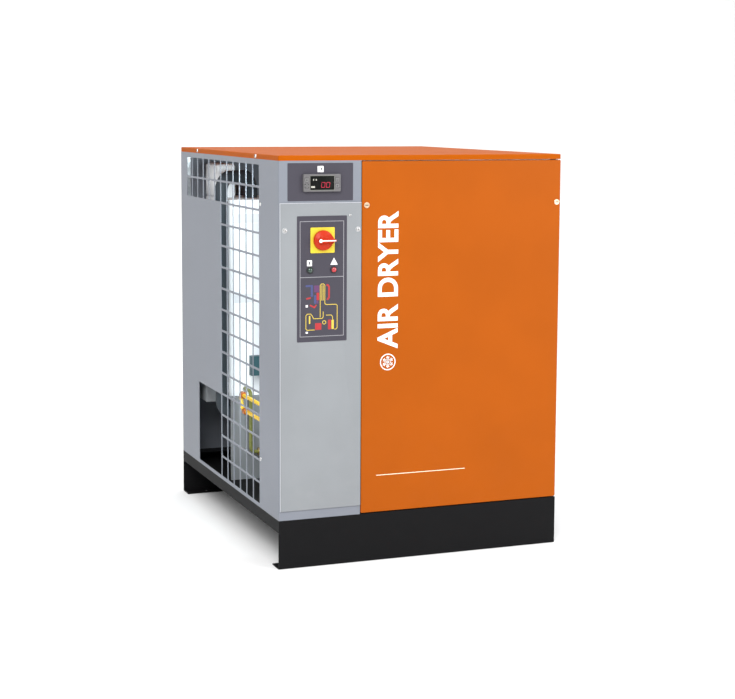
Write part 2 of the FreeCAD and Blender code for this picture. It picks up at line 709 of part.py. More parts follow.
def main_switch():
    """The rotary main switch: plate, handle with its stem, and the switch block behind."""
    cover, label = size("cover_depth"), size("label_sheet")
    x, z = size("knob_x"), size("knob_z")
    half, front = size("plate_side") / 2, -cover - label - size("plate_sheet")
    plate = new_body()
    face = sketch(plate, "XZ", front)
    middle = size("plate_x")
    rounded(face, middle - half, z - half, middle + half, z + half, 1.5)
    pad(plate, face, "XZ", size("plate_sheet"))
    hole = sketch(plate, "XZ", front)
    circle(hole, x, z, 11)
    pocket(plate, hole, "XZ", size("plate_sheet"))
    node("switch_plate", plate)

    knob = new_body()
    disc_back = front - 0.3
    disc = sketch(knob, "XZ", disc_back - size("disc_thick"))
    teardrop(disc, x, z, size("knob_radius"), 4.5, size("grip_tip") - 4.5)
    pad(knob, disc, "XZ", size("disc_thick"))
    grip = sketch(knob, "XZ", -size("knob_reach"))
    teardrop(grip, x, z, 9, 3.5, size("grip_tip") - 4.5)
    pad(knob, grip, "XZ", size("knob_reach") + disc_back - 1)
    stem = sketch(knob, "XZ", disc_back - 1)
    circle(stem, x, z, size("stem_radius"))
    pad(knob, stem, "XZ", 16)
    base = knob.Tip
    lip = [f"Edge{i}" for i, edge in enumerate(base.Shape.Edges, start=1)
           if abs(edge.CenterOfMass.y + value_of(size("knob_reach"))) < 1e-3
           and edge.BoundBox.YLength < 1e-3]
    soft = knob.newObject("PartDesign::Fillet", "Soft")
    soft.Base = (base, lip)
    soft.Radius = 1.6
    DOC.recompute()
    node("switch_knob", knob)

    reach, rear = size("switch_body_side") / 2, -cover + SKIN
    housing = block(x - reach, x + reach, rear, rear + size("switch_body_depth"),
                    z - reach, z + reach)
    bore = rod("Y", x, rear - 1, z, size("stem_radius") + size("stem_gap") / 2, 16)
    node("switch_body", cut(housing, bore))


def lamps():
    """Two pilot lamps: coloured lenses in identical holders that go through the cover."""
    front, lens = -size("cover_depth") - size("label_sheet"), size("lamp_radius")
    holders = []
    for name, x in (("green_lamp_lens", "green_lamp_x"), ("red_lamp_lens", "red_lamp_x")):
        dome = [(0, 0), (lens - 0.5, 0), (lens - 0.5, 3), (lens - 1, 4.4), (lens - 2.4, 5.3),
                (0, 5.8)]
        node(name, turned(dome, size(x), front, size("lamp_z"), "-Y"))
        holder = [(0, -38), (lens, -38), (lens, 0), (size("lamp_bezel"), 0),
                  (size("lamp_bezel"), 2), (lens - 0.5, 2), (lens - 0.5, 0), (0, 0)]
        holders.append(turned(holder, size(x), front, size("lamp_z"), "-Y"))
    node("lamp_holders", group(*holders))


def electrics():
    """The wiring box behind the cover with its plate, contactor and terminals."""
    left, right = size("bay_left"), size("column_width") - size("seam")
    low, high = size("bay_low") - 5, size("bay_high") + 5
    front, rear, wall = size("box_front"), size("box_front") + size("box_depth"), size("box_sheet")
    shell = block(left, right, front, rear, low, high)
    space = block(left + wall, right - wall, front - 1, rear - wall, low + wall, high - wall)
    node("electrical_enclosure", cut(shell, space))
    back = rear - wall
    rails = [block(45, 187, back - 9.5, back - 2, z, z + 35) for z in (400, 600)]
    node("mounting_plate", fuse(block(40, 192, back - 2, back, 165, 740), *rails))
    rail = back - 9.5
    base = block(58, 103, rail - 62, rail, 572, 662)
    node("contactor", fuse(base, block(64, 97, rail - 78, rail - 62, 592, 642)))
    strip = block(50, 182, rail - 40, rail, 396, 440)
    slots = [block(x, x + 2, rail - 41, rail - 20, 395, 441) for x in range(60, 180, 12)]
    node("terminal_strip", cut(strip, *slots))


# ------------------------------------------------------------------ refrigeration circuit
PAN_FLOOR = BASE - size("pan_side") + SHEET3


def compressor():
    """The hermetic compressor on its rubber mounts, with its terminal box."""
    x, y, radius = size("compressor_x"), size("compressor_y"), size("compressor_radius")
    foot = PAN_FLOOR + size("mount_tall")
    tall = size("compressor_tall")
    pot = [(0, 0), (radius - 25, 0), (radius - 8, 8), (radius, 26), (radius, tall - 60),
           (radius - 10, tall - 30), (radius - 35, tall - 10), (radius - 70, tall), (0, tall)]
    shell = turned(pot, x, y, foot + 4, "Z")
    legs = block(x - radius - 8, x + radius + 8, y - radius - 8, y + radius + 8, foot, foot + 4)
    node("compressor_shell", fuse(shell, legs))
    spots = [(x + i * 98, y + j * 98) for i in (-1, 1) for j in (-1, 1)]
    grommets = [rod("Z", px, py, PAN_FLOOR, 15, size("mount_tall")) for px, py in spots]
    node("compressor_mounts", group(*grommets))
    front = y - radius - 28
    housing = block(x - 38, x + 38, front, y - radius + 14, foot + 150, foot + 240)
    node("compressor_terminal_box", cut(housing, rod("Z", x, y, foot, radius, 300)))


def fan_centre():
    half = (size("pitch") * size("intake_cells") + size("grille_bar")) / 2
    return size("intake_front") + half, size("intake_low") + half


def condenser():
    """The finned coil behind the intake grille, carried by its end plates."""
    y, z = fan_centre()
    half, right = size("coil_side") / 2, size("coil_right")
    left = right - size("coil_thick")
    core = block(left, right, y - half, y + half, z - half, z + half)
    plates = [block(left, right, y + side - 1, y + side + 1, PAN_FLOOR, z + half + 8)
              for side in (-half - 1, half + 1)]
    node("condenser_coil", fuse(core, *plates))
    front = left - 70
    shell = block(front, left, y - half, y + half, z - half, z + half)
    space = block(front + 2, left + 1, y - half + 2, y + half - 2, z - half + 2, z + half - 2)
    eye = rod("X", front - 1, y, z, size("fan_radius") + size("fan_gap"), 5)
    node("fan_shroud", cut(shell, space, eye))


def fan():
    """The axial fan and the motor that hangs on four arms from the shroud."""
    y, z = fan_centre()
    x, hub, thick = size("fan_x"), size("hub_radius"), size("fan_thick")
    drum = rod("X", x - thick / 2, y, z, hub, thick)
    shaft = rod("X", x - thick / 2 - 26, y, z, size("shaft_radius"), 27)
    chord, sheet, root = 60, 3, value_of(hub) - 6
    blades = []
    for i in range(5):
        pitch_turn = FreeCAD.Rotation(FreeCAD.Vector(0, 0, 1), 35)
        turn = FreeCAD.Rotation(FreeCAD.Vector(1, 0, 0), i * 72).multiply(pitch_turn)
        corner = turn.multVec(FreeCAD.Vector(-chord / 2, -sheet / 2, root))
        blade = DOC.addObject("Part::Box", "Blade")
        blade.Length, blade.Width = chord, sheet
        bind(blade, "Height", size("fan_radius") - root)
        axis = turn.Axis
        put(blade, x + corner.x, y + corner.y, z + corner.z,
            (axis.x, axis.y, axis.z, math.degrees(turn.Angle)))
        blades.append(blade)
    node("fan_rotor", fuse(drum, shaft, *blades))
    face = x - thick / 2 - 4
    can = rod("X", face - 72, y, z, 58, 72)
    reach, post = size("fan_radius") + 30, 16
    shroud = size("coil_right") - size("coil_thick") - 70
    arms = [block(face - 16, face - 8, y - reach, y + reach, z - post / 2, z + post / 2),
            block(face - 16, face - 8, y - post / 2, y + post / 2, z - reach, z + reach)]
    for side in (-1, 1):
        near, far = side * (reach - post / 2) - post / 2, side * (reach - post / 2) + post / 2
        arms.append(block(face - 8, shroud, y + near, y + far, z - post / 2, z + post / 2))
        arms.append(block(face - 8, shroud, y - post / 2, y + post / 2, z + near, z + far))
    bore = rod("X", face - 24, y, z, size("shaft_radius") + 0.05, 25)
    node("fan_motor", cut(fuse(can, *arms), bore))


def exchanger():
    """The brazed air and refrigerant exchanger in its white insulation, on its stand."""
    left, right, low, high = (size(n) for n in ("block_left", "block_right", "block_low",
                                                "block_high"))
    front, rear, wall = size("block_front"), size("block_rear"), size("foam_wall")
    body = new_body()
    base = sketch(body, "XY", low)
    rectangle(base, left, front, right, rear)
    pad(body, base, "XY", high - low)
    round_edges(body, size("block_corner"), along("z", x=[left, right], y=[front, rear]))
    core = block(left + wall, right - wall, front + wall, rear - wall, low + wall, high - wall)
    ports = [rod("Y", size("port_x"), rear - wall, z, size("port_bore") + 5, wall + 1)
             for z in (size("inlet_z"), size("outlet_z"))]
    node("exchanger_insulation", cut(body, core, *ports))
    node("exchanger_core", block(left + wall, right - wall, front + wall, rear - wall,
                                 low + wall, high - wall))
    sheet, wing_top = 3, 340
    shelf = block(left - 6, right, front - 30, rear, low - sheet, low)
    leg = block(left - 6, right, front - 30, front - 27, PAN_FLOOR, low)
    back = block(200, right, rear - 12, rear - 9, PAN_FLOOR, low)
    wing = block(19, left - 1, 690, 800, 287, wing_top)
    hollow = block(21, left + 5, 692, 798, 289, wing_top + 1)
    node("exchanger_bracket", fuse(shelf, leg, back, cut(wing, hollow)))


def air_connectors():
    """Threaded air connections, from the exchanger out through the back."""
    bore, flange, thread = size("port_bore"), size("connector_radius"), size("thread_radius")
    start = size("block_rear") - size("foam_wall")
    total = CONNECTOR_REAR - start
    tall = total - size("thread_length")
    for name, z in (("air_inlet_connector", "inlet_z"), ("air_outlet_connector", "outlet_z")):
        profile = [(bore, 0), (bore + 5, 0), (bore + 5, tall - 24), (flange, tall - 24),
                   (flange, total), (thread, total), (thread, tall), (bore, tall)]
        node(name, turned(profile, size("port_x"), start, size(z), "Y"))


def pipework():
    """Refrigerant and condensate pipes, as straight runs joined by arcs."""
    x, y = size("compressor_x"), size("compressor_y")
    side = y + size("compressor_radius")
    foot = PAN_FLOOR + size("mount_tall") + 4
    top = foot + size("compressor_tall")
    block_top, gallery = size("block_high"), size("block_high") + 60
    riser_x, riser_y = 34, 592
    suction = [(150, 700, block_top), (150, 700, gallery), (riser_x, riser_y, gallery),
               (riser_x, riser_y, 268), (x, riser_y, 268), (x, side, 268)]
    node("suction_line", tube(suction, 17, 40))
    fan_y, fan_z = fan_centre()
    coil_x = size("coil_right") - size("coil_thick") / 2
    coil_top = fan_z + size("coil_side") / 2
    discharge = [(x, y - 30, top), (x, y - 30, coil_top + 40), (coil_x, y - 30, coil_top + 40),
                 (coil_x, y - 30, coil_top)]
    node("discharge_line", tube(discharge, 6, 18))
    coil_rear = fan_y + size("coil_side") / 2 + 2
    liquid = [(250, 500, 180), (250, 500, 120), (545, 500, 120), (545, 775, 120),
              (coil_x, 775, 120), (coil_x, 775, 310), (coil_x, coil_rear, 310)]
    node("liquid_line", tube(liquid, 5, 18))
    bypass = [(238, 430, 222), (130, 330, 250), (70, 330, 292), (70, 520, 292), (66, 528, 334),
              (66, 340, 334), (130, 330, 300), (238, 444, 268)]
    node("bypass_line", tube(bypass, 5, 12))
    valve = fuse(block(243, 279, 422, 452, 212, 280), rod("Z", 261, 437, 280, 13, 34))
    node("bypass_valve", valve)
    drier = [(0, 0), (5, 0), (8, 10), (22, 22), (22, 118), (8, 130), (5, 140), (0, 140)]
    node("filter_drier", turned(drier, 250, 500, 180, "Z"))
    node("pressure_switch", block(113, 190, 578, size("block_front"), 371, 424))


def drain():
    """Condensate drain: pipe from the exchanger, ball valve with its lever, hose to the back."""
    x, y, z = size("valve_x"), size("valve_y"), size("valve_z")
    ball = fuse(rod("X", x - 30, y, z, 11, 60), rod("X", x - 14, y, z, 15, 28))
    stem = rod("Z", x, y, z, 5, 22)
    node("drain_valve", fuse(ball, stem))
    hub = rod("Z", x, y, z + 22.3, 9, 6)
    arm = block(x, x + 66, y - 6, y + 6, z + 24.3, z + 28.3)
    node("drain_valve_lever", fuse(hub, arm, rod("Z", x + 66, y, z + 24.3, 6, 4)))
    supply = tube([(x - 50, 600, 335), (x - 50, y, 335), (x - 50, y, z), (x - 30, y, z)], 5, 14)
    out_x, out_z = 380, 150
    outlet = tube([(x + 30, y, z), (x + 90, y, z), (345, y, z - 20), (345, 760, z - 20),
                   (out_x, 815, out_z), (out_x, 866, out_z)], 5, 16)
    spigot = [(3.5, 0), (7.9, 0), (7.9, 8), (12, 8), (12, 12), (5, 12), (5, 26), (3.5, 26)]
    fitting = turned(spigot, out_x, D - 8, out_z, "Y")
    node("drain_line", group(supply, outlet, fitting))


def button_head(x, y, z, axis, radius=4.75):
    """A button-head screw with a socket in it."""
    tall = radius * 0.55
    profile = [(radius * 0.45, 0), (radius, 0), (radius, tall * 0.25), (radius * 0.86, tall * 0.7),
               (radius * 0.6, tall), (radius * 0.45, tall)]
    rim = turned(profile, x, y, z, axis)
    return fuse(rim, rod(axis, x, y, z, radius * 0.46, tall * 0.35))


def fasteners():
    heads = []
    for x, axis in ((0, "-X"), (W, "X")):
        heads += [button_head(x, y, FLANGE_LOW + 6.5, axis) for y in (175, 699)]
        heads += [button_head(x, 138, z, axis) for z in (240, 860)]
    heads += [button_head(x, D, z, "Y") for x in (20, W - 20) for z in (240, 860)]
    node("cabinet_screws", group(*heads))
    front = -size("cover_depth")
    cover = [button_head(x, front, 806, "-Y") for x in (14, 196)]
    node("control_cover_screws", group(button_head(176, front, 839, "-Y", 3), *cover))
    gland = [(6, -18), (9.9, -18), (9.9, 0), (14, 0), (14, 6), (11, 8), (11, 15), (9, 18), (6, 18)]
    node("cable_gland", turned(gland, 560, D, 170, "Y"))


def check_and_export():
    """Stop if any feature failed, then write one STEP file for each sub-part."""
    DOC.recompute()
    for item in DOC.Objects:
        bad = {"Invalid", "Error"} & set(item.State)
        assert not bad, f"{item.Name} ({item.Label}) failed: {bad}"
    assert len(NODES) <= 60, f"{len(NODES)} nodes"
    for name, thing in NODES.items():
        shape = thing.Shape
        assert not shape.isNull() and shape.isValid(), f"{name} has no valid shape"
        assert shape.Solids, f"{name} has no solid"
        shape.exportStep(f"parts/{name}.step")
        print(f"{name}: {len(shape.Solids)} solid(s), {shape.Volume / 1000:.1f} cm3")
    print(f"{len(NODES)} nodes")


for front in (True, False):
    base_channel("base_front_rail" if front else "base_rear_rail", front)
base_pan()
left_panel()
left_grille()
right_panel()
node("right_grille", cell_grid(W - SKIN, size("intake_front"), size("intake_low"),
                               size("intake_cells"), size("intake_cells")))
rear_panel()
top_cover()
top_rails()
posts()
front_panel()
front_panel_foam()
panel_fastener("panel_fastener_left", size("fastener_left_x"))
panel_fastener("panel_fastener_right", size("fastener_right_x"))
fastener_receptacles()
control_cover()
labels()
controller()
main_switch()
lamps()
electrics()
compressor()
condenser()
fan()
exchanger()
air_connectors()
pipework()
drain()
fasteners()
check_and_export()
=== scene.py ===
# %% [markdown]
# # A refrigerated compressed-air dryer
# A steel cabinet dries compressed air by cooling it. The sheet-metal skin, the frame and every
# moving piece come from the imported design, already in place and in metres. This lesson adds what
# the eye looks for: paint with grain, printed labels, a lit display, screws with sockets, a real
# finned coil, and soft studio light.

# %% Load the design
import json
import math

import bmesh
import bpy
from mathutils import Matrix, Vector


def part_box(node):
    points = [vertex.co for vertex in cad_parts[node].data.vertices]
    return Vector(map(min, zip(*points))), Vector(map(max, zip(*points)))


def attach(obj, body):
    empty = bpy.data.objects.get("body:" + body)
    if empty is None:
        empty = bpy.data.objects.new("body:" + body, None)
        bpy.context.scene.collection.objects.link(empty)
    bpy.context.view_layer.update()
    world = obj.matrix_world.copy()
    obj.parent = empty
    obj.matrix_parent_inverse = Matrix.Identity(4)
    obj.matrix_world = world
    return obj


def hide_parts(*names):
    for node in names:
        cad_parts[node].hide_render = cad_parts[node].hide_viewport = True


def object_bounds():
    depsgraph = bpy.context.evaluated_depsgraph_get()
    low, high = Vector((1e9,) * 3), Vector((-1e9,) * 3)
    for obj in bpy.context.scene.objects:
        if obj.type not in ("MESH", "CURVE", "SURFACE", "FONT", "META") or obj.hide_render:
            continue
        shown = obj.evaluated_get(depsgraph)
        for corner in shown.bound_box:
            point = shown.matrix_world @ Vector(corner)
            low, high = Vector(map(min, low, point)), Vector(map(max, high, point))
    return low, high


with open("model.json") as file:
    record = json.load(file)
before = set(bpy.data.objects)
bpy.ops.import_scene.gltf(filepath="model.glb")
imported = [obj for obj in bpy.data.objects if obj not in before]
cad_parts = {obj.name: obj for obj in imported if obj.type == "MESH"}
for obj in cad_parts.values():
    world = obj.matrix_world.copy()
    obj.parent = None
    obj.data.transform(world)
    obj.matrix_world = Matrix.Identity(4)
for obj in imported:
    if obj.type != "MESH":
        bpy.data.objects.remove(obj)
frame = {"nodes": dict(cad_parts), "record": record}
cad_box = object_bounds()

MM = 0.001
NODES = frame["nodes"]
LOW, HIGH = (Vector(corner) for corner in cad_box)
print(f"{len(NODES)} nodes, cabinet {[round(x, 3) for x in HIGH - LOW]} m")

# %% [markdown]
# ## Sums on sockets
# A material is a small graph. Written as plain arithmetic it is far easier to read than as a list
# of nodes and links, so one class wraps a socket, and each operator adds the Math node it means.
# The reflected forms let a number stand on the left, as in 1 - mask.


# %% Arithmetic on shader values
class Value:
    """A shader socket that can be added, multiplied and clamped like a number."""

    def __init__(self, finish, socket):
        self.finish = finish
        self.socket = socket

    def math(self, operation, *others, flip=False):
        terms = [self, *others]
        if flip:
            terms.reverse()
        return self.finish.node("Math", {"operation": operation}, dict(enumerate(terms)))

    def __add__(self, other):
        return self.math("ADD", other)

    __radd__ = __add__

    def __rsub__(self, other):
        return self.math("SUBTRACT", other, flip=True)

    def __mul__(self, other):
        return self.math("MULTIPLY", other)

    __rmul__ = __mul__

    def clamp(self):
        return self.math("MAXIMUM", 0).math("MINIMUM", 1)


class Finish:
    """One material: a Principled shader and the nodes that vary it over the surface."""

    def __init__(self, name, **constants):
        self.material = bpy.data.materials.new(name)
        self.material.use_nodes = True
        self.tree = self.material.node_tree
        self.tree.nodes.clear()
        self.shader = self.tree.nodes.new("ShaderNodeBsdfPrincipled")
        self.output = self.tree.nodes.new("ShaderNodeOutputMaterial")
        self.tree.links.new(self.shader.outputs[0], self.output.inputs[0])
        self.set(**constants)

    def node(self, kind, settings=None, inputs=None, output=0):
        """Add any node: its settings first, then values or links for its sockets."""
        made = self.tree.nodes.new("ShaderNode" + kind)
        for key, setting in (settings or {}).items():
            setattr(made, key, setting)
        for key, thing in (inputs or {}).items():
            self.feed(made.inputs[key], thing)
        return Value(self, made.outputs[output])

    def feed(self, socket, thing):
        if isinstance(thing, Value):
            self.tree.links.new(thing.socket, socket)
        else:
            socket.default_value = thing

    def set(self, **sockets):
        """Set the shader's sockets: base_color=..., roughness=..., and so on."""
        for key, thing in sockets.items():
            title = key.replace("_", " ").title().replace("Ior", "IOR")
            self.feed(self.shader.inputs[title], thing)

    def place(self, stretch=(1, 1, 1)):
        """The point on the piece, in metres, optionally stretched."""
        here = self.node("TexCoord", output="Object")
        if tuple(stretch) == (1, 1, 1):
            return here
        return self.node("VectorMath", {"operation": "MULTIPLY"}, {0: here, 1: stretch})

    def noise(self, scale, detail=3, rough=0.55, stretch=(1, 1, 1)):
        inputs = {"Vector": self.place(stretch), "Scale": scale, "Detail": detail,
                  "Roughness": rough}
        return self.node("TexNoise", None, inputs, output=0)

    def ramp(self, value, low, high):
        """0 below low, 1 above high, and a smooth rise between."""
        settings = {"interpolation_type": "SMOOTHSTEP"}
        inputs = {"Value": value, "From Min": low, "From Max": high}
        return self.node("MapRange", settings, inputs)

    def blend(self, amount, first, second):
        """Mix two colours by an amount from 0 to 1."""
        mixer = {"data_type": "RGBA"}
        inputs = {0: amount, 6: first, 7: second}
        return self.node("Mix", mixer, inputs, output=2)

    def bump(self, height, distance, strength=1.0):
        inputs = {"Height": height, "Distance": distance, "Strength": strength}
        self.set(normal=self.node("Bump", None, inputs))


def rgba(red, green, blue):
    return (red, green, blue, 1)


def shade(colour, factor):
    """The same hue, lighter or darker."""
    return rgba(*(min(1, part * factor) for part in colour[:3]))


print("value arithmetic ready")

# %% [markdown]
# ## Powder coat
# Nearly all the skin is powder-coated sheet. Powder melts into a film with a fine orange peel, so
# a picture of paint is the wrong tool: two noises give the peel, at one and four millimetres, a
# third drifts in tone and gloss over a hand's width, and a little dust lies low on the panels.


# %% Powder-coated sheet
def powder_coat(name, colour, rough=0.42, peel=0.00006, grain=900, dust=0.03, sheen=0.2):
    finish = Finish(name, ior=1.5, specular_ior_level=sheen)
    drift = finish.noise(5, 4)
    speck = finish.noise(420, 2)
    tone = finish.blend(finish.ramp(drift, 0.3, 0.75), shade(colour, 0.955), shade(colour, 1.03))
    tone = finish.blend(finish.ramp(speck, 0.66, 0.74) * 0.10, tone, shade(colour, 1.5))
    height = finish.node("SeparateXYZ", None, {0: finish.place()}, output=2)
    low_down = 1 - finish.ramp(height, 0.05, 0.55)
    veil = (finish.ramp(finish.noise(26, 5), 0.45, 0.8) * low_down * dust).clamp()
    finish.set(base_color=finish.blend(veil, tone, rgba(0.55, 0.53, 0.50)))
    finish.set(roughness=(drift * 0.10 + speck * 0.06 + (rough - 0.08) + veil * 0.5).clamp())
    finish.bump(finish.noise(grain, 2) * 0.6 + finish.noise(grain / 4, 2) * 0.6, peel)
    return finish.material


GREY = rgba(0.178, 0.192, 0.222)
ORANGE = rgba(0.335, 0.070, 0.0015)
grey_paint = powder_coat("grey_powder_coat", GREY)
cover_paint = powder_coat("cover_powder_coat", rgba(0.215, 0.228, 0.240), rough=0.46)
orange_paint = powder_coat("orange_powder_coat", ORANGE, rough=0.40, dust=0.003, sheen=0.09)
# Painted light: the lid takes the front's orange made five percent lighter, for a top that faces
# the lights.
lit_lid_paint = powder_coat("lid_powder_coat", shade(ORANGE, 1.05), rough=0.5, dust=0.01, sheen=0.03)
base_paint = powder_coat("base_powder_coat", rgba(0.0070, 0.0070, 0.0076), rough=0.55,
                         dust=0.001, sheen=0.06)
box_paint = powder_coat("box_powder_coat", rgba(0.30, 0.33, 0.37), rough=0.45)
black_enamel = powder_coat("black_enamel", rgba(0.012, 0.012, 0.013), rough=0.25, grain=300)
blue_enamel = powder_coat("blue_enamel", rgba(0.012, 0.035, 0.085), rough=0.28, grain=300)
red_dip = powder_coat("red_dipped_lever", rgba(0.50, 0.02, 0.015), rough=0.35, grain=300)
print("powder coats:", len(bpy.data.materials))

# %% [markdown]
# ## Bare metals
# Galvanised sheet shows spangle, the frost-like crystals of the zinc: a Voronoi pattern whose cells
# differ in tone and gloss. Turned and drawn metal shows fine lines along the cut instead, which is
# a noise squeezed hard along one axis.


# %% Galvanised, turned and drawn metal
def galvanised(name, tint=rgba(0.56, 0.58, 0.60)):
    finish = Finish(name, metallic=0.85)
    cells = finish.node("TexVoronoi", None, {"Vector": finish.place(), "Scale": 110}, output=1)
    crystal = finish.node("SeparateXYZ", None, {0: cells})
    cloud = finish.noise(18, 4)
    finish.set(base_color=finish.blend(crystal * 0.5, tint, shade(tint, 0.72)))
    finish.set(roughness=(crystal * 0.18 + cloud * 0.25 + 0.24).clamp())
    finish.bump(crystal * 0.4 + finish.noise(600, 2), 0.00004)
    return finish.material


def drawn_metal(name, tint, rough=0.25, lines=(40, 900, 40), tarnish=0.25):
    finish = Finish(name, metallic=1.0)
    grain = finish.noise(1.6, 3, 0.6, lines)
    patch = finish.ramp(finish.noise(40, 5), 0.45, 0.8)
    finish.set(base_color=finish.blend(patch * tarnish, tint, shade(tint, 0.45)))
    finish.set(roughness=(grain * 0.16 + patch * 0.22 + (rough - 0.08)).clamp())
    finish.bump(grain, 0.00003)
    return finish.material


zinc_sheet = galvanised("galvanised_sheet")
bright_zinc = drawn_metal("bright_zinc", rgba(0.62, 0.62, 0.62), 0.22, (300, 300, 300), 0.15)
warm_zinc = drawn_metal("yellow_passivated_zinc", rgba(0.80, 0.60, 0.42), 0.3, (300, 300, 300), 0.1)
turned_steel = drawn_metal("turned_steel", rgba(0.60, 0.60, 0.61), 0.26, (60, 1400, 60))
brass = drawn_metal("machined_brass", rgba(0.78, 0.53, 0.20), 0.24)
copper = drawn_metal("drawn_copper", rgba(0.82, 0.40, 0.25), 0.22, (60, 60, 500), 0.35)
fin_metal = drawn_metal("fin_aluminium", rgba(0.72, 0.73, 0.74), 0.34, (900, 40, 40), 0.3)
print("metals ready")

# %% [markdown]
# ## Plastics, rubber and foam
# Moulded plastic copies the eroded skin of its mould, a grain well under a millimetre. Gloss
# parts have only a faint ripple. Foam is open pores, and moulded insulation shows packed beads.


# %% Moulded pieces
def moulded(name, colour, rough=0.5, grain=1500, depth=0.00005, wear=0.12, sheen=0.35):
    finish = Finish(name, ior=1.48, specular_ior_level=sheen)
    skin = finish.noise(grain, 2)
    smudge = finish.ramp(finish.noise(45, 5), 0.4, 0.8)
    finish.set(base_color=finish.blend(smudge * wear, colour, shade(colour, 1.35)))
    finish.set(roughness=(skin * 0.12 + smudge * 0.14 + (rough - 0.1)).clamp())
    finish.bump(skin, depth)
    return finish.material


def beaded_foam(name, colour, beads=260, depth=0.0004, dirt=0.06):
    finish = Finish(name, ior=1.4)
    cells = finish.node("TexVoronoi", None, {"Vector": finish.place(), "Scale": beads})
    cloud = finish.ramp(finish.noise(9, 5), 0.35, 0.8)
    finish.set(base_color=finish.blend(cloud * dirt, colour, shade(colour, 0.6)))
    finish.set(roughness=(cloud * 0.1 + cells * 0.2 + 0.62).clamp())
    finish.bump(cells + finish.noise(beads * 4, 2) * 0.3, depth)
    return finish.material


black_plastic = moulded("black_plastic", rgba(0.018, 0.018, 0.02))
dark_switch = moulded("dark_teal_plastic", rgba(0.02, 0.07, 0.085))
grey_plastic = moulded("grey_plastic", rgba(0.16, 0.20, 0.22))
key_plastic = moulded("key_plastic", rgba(0.10, 0.10, 0.12), 0.4)
yellow_plastic = moulded("yellow_plastic", rgba(0.60, 0.46, 0.035), 0.38, 700, 0.00002, 0.05, 0.2)
red_plastic = moulded("red_plastic", rgba(0.40, 0.022, 0.004), 0.36, 700, 0.00002, 0.06, 0.22)
yellow_coat = moulded("yellow_pipe_coating", rgba(0.88, 0.56, 0.03), 0.3, 500, 0.00002, 0.1)
orange_cap = moulded("orange_fitting", rgba(0.42, 0.12, 0.02), 0.4)
rubber = moulded("rubber", rgba(0.012, 0.012, 0.014), 0.62, 900, 0.0001, 0.2)
pipe_sleeve = beaded_foam("sleeve_foam", rgba(0.030, 0.038, 0.046), 700, 0.0002)
panel_foam = beaded_foam("panel_foam", rgba(0.05, 0.05, 0.055), 380, 0.0012)
insulation = beaded_foam("white_insulation", rgba(0.93, 0.94, 0.96), 240, 0.00012, 0.02)
hose = moulded("olive_tube", rgba(0.17, 0.18, 0.05), 0.28, 500, 0.00001)
nylon = moulded("white_nylon", rgba(0.42, 0.43, 0.44), 0.4, 700, 0.00002, 0.03)
label_film = moulded("label_film", rgba(0.049, 0.046, 0.059), 0.5, 1200, 0.00003, 0.05,
                     sheen=0.15)
print("plastics ready")

# %% [markdown]
# ## Inks, lenses and the lit display
# Printing is a film of its own, about a tenth of a millimetre thick, so each mark is a thin raised
# shape with an ink finish. A lens is tinted plastic with a gloss of its own: a coat over a deep
# colour reads better than real glass in a piece this small. The digits are segments that glow.


# %% Inks and lenses
def ink(name, colour):
    finish = Finish(name, ior=1.45)
    mottle = finish.noise(700, 3)
    finish.set(base_color=finish.blend(finish.ramp(mottle, 0.35, 0.7), shade(colour, 0.93), colour))
    finish.set(roughness=(mottle * 0.15 + 0.36).clamp())
    finish.bump(mottle, 0.00001)
    return finish.material


def lens(name, colour, glow=0.0):
    finish = Finish(name, ior=1.5, coat_roughness=0.04)
    depth = finish.ramp(finish.noise(160, 3), 0.3, 0.8)
    finish.set(base_color=finish.blend(depth, colour, shade(colour, 0.55)))
    finish.set(roughness=(depth * 0.10 + 0.10).clamp(), coat_weight=1.0)
    finish.set(emission_color=colour, emission_strength=glow)
    finish.bump(finish.noise(900, 2), 0.000004)
    return finish.material


white_ink = ink("white_ink", rgba(0.78, 0.78, 0.77))
cream_ink = ink("cream_ink", rgba(0.86, 0.78, 0.60))
pale_line = ink("pale_line_ink", rgba(0.27, 0.27, 0.29))
yellow_ink = ink("yellow_ink", rgba(0.60, 0.44, 0.05))
red_ink = ink("red_ink", rgba(0.36, 0.018, 0.022))
blue_ink = ink("blue_ink", rgba(0.045, 0.055, 0.16))
violet_ink = ink("violet_ink", rgba(0.095, 0.03, 0.10))
black_ink = ink("black_ink", rgba(0.02, 0.02, 0.022))
window_film = moulded("display_window", rgba(0.006, 0.007, 0.006), 0.25, 300, 0.00001, 0.0, 0.1)
digit_glow = lens("digit_glow", rgba(0.50, 0.02, 0.05), glow=0.7)
green_lens = lens("green_lens", rgba(0.003, 0.030, 0.018))
red_lens = lens("red_lens", rgba(0.40, 0.010, 0.018), glow=0.15)
print(len(bpy.data.materials), "materials")

# %% [markdown]
# ## Give the design its finishes
# A piece of the design whose shape is right keeps its shape and takes a better finish. The record
# already sorts the nodes into slots, so one table from slot to finish covers them all, and the few
# nodes that differ from their slot are named after it.

# %% Finishes by slot
BY_SLOT = {
    "base_paint": base_paint, "grey_paint": grey_paint, "orange_paint": orange_paint,
    "cover_paint": cover_paint, "galvanised_steel": zinc_sheet, "foam_grey": panel_foam,
    "zinc_plated_steel": bright_zinc, "label_film": label_film, "black_plastic": black_plastic,
    "display_window": window_film, "key_plastic": key_plastic, "yellow_plastic": yellow_plastic,
    "red_plastic": red_plastic, "green_lens": green_lens, "red_lens": red_lens,
    "enclosure_paint": box_paint, "terminal_plastic": grey_plastic,
    "compressor_paint": black_enamel, "rubber": rubber, "coil_aluminium": fin_metal,
    "fan_blade_metal": black_enamel, "motor_paint": black_enamel,
    "insulation_white": insulation, "brass": brass, "connector_steel": turned_steel,
    "copper": copper, "yellow_coating": yellow_coat, "drier_paint": blue_enamel,
    "lever_paint": red_dip, "hose_plastic": hose,
}
SLOT_OF = {part["node"]: part["material_slot"] for part in frame["record"]["subparts"]}
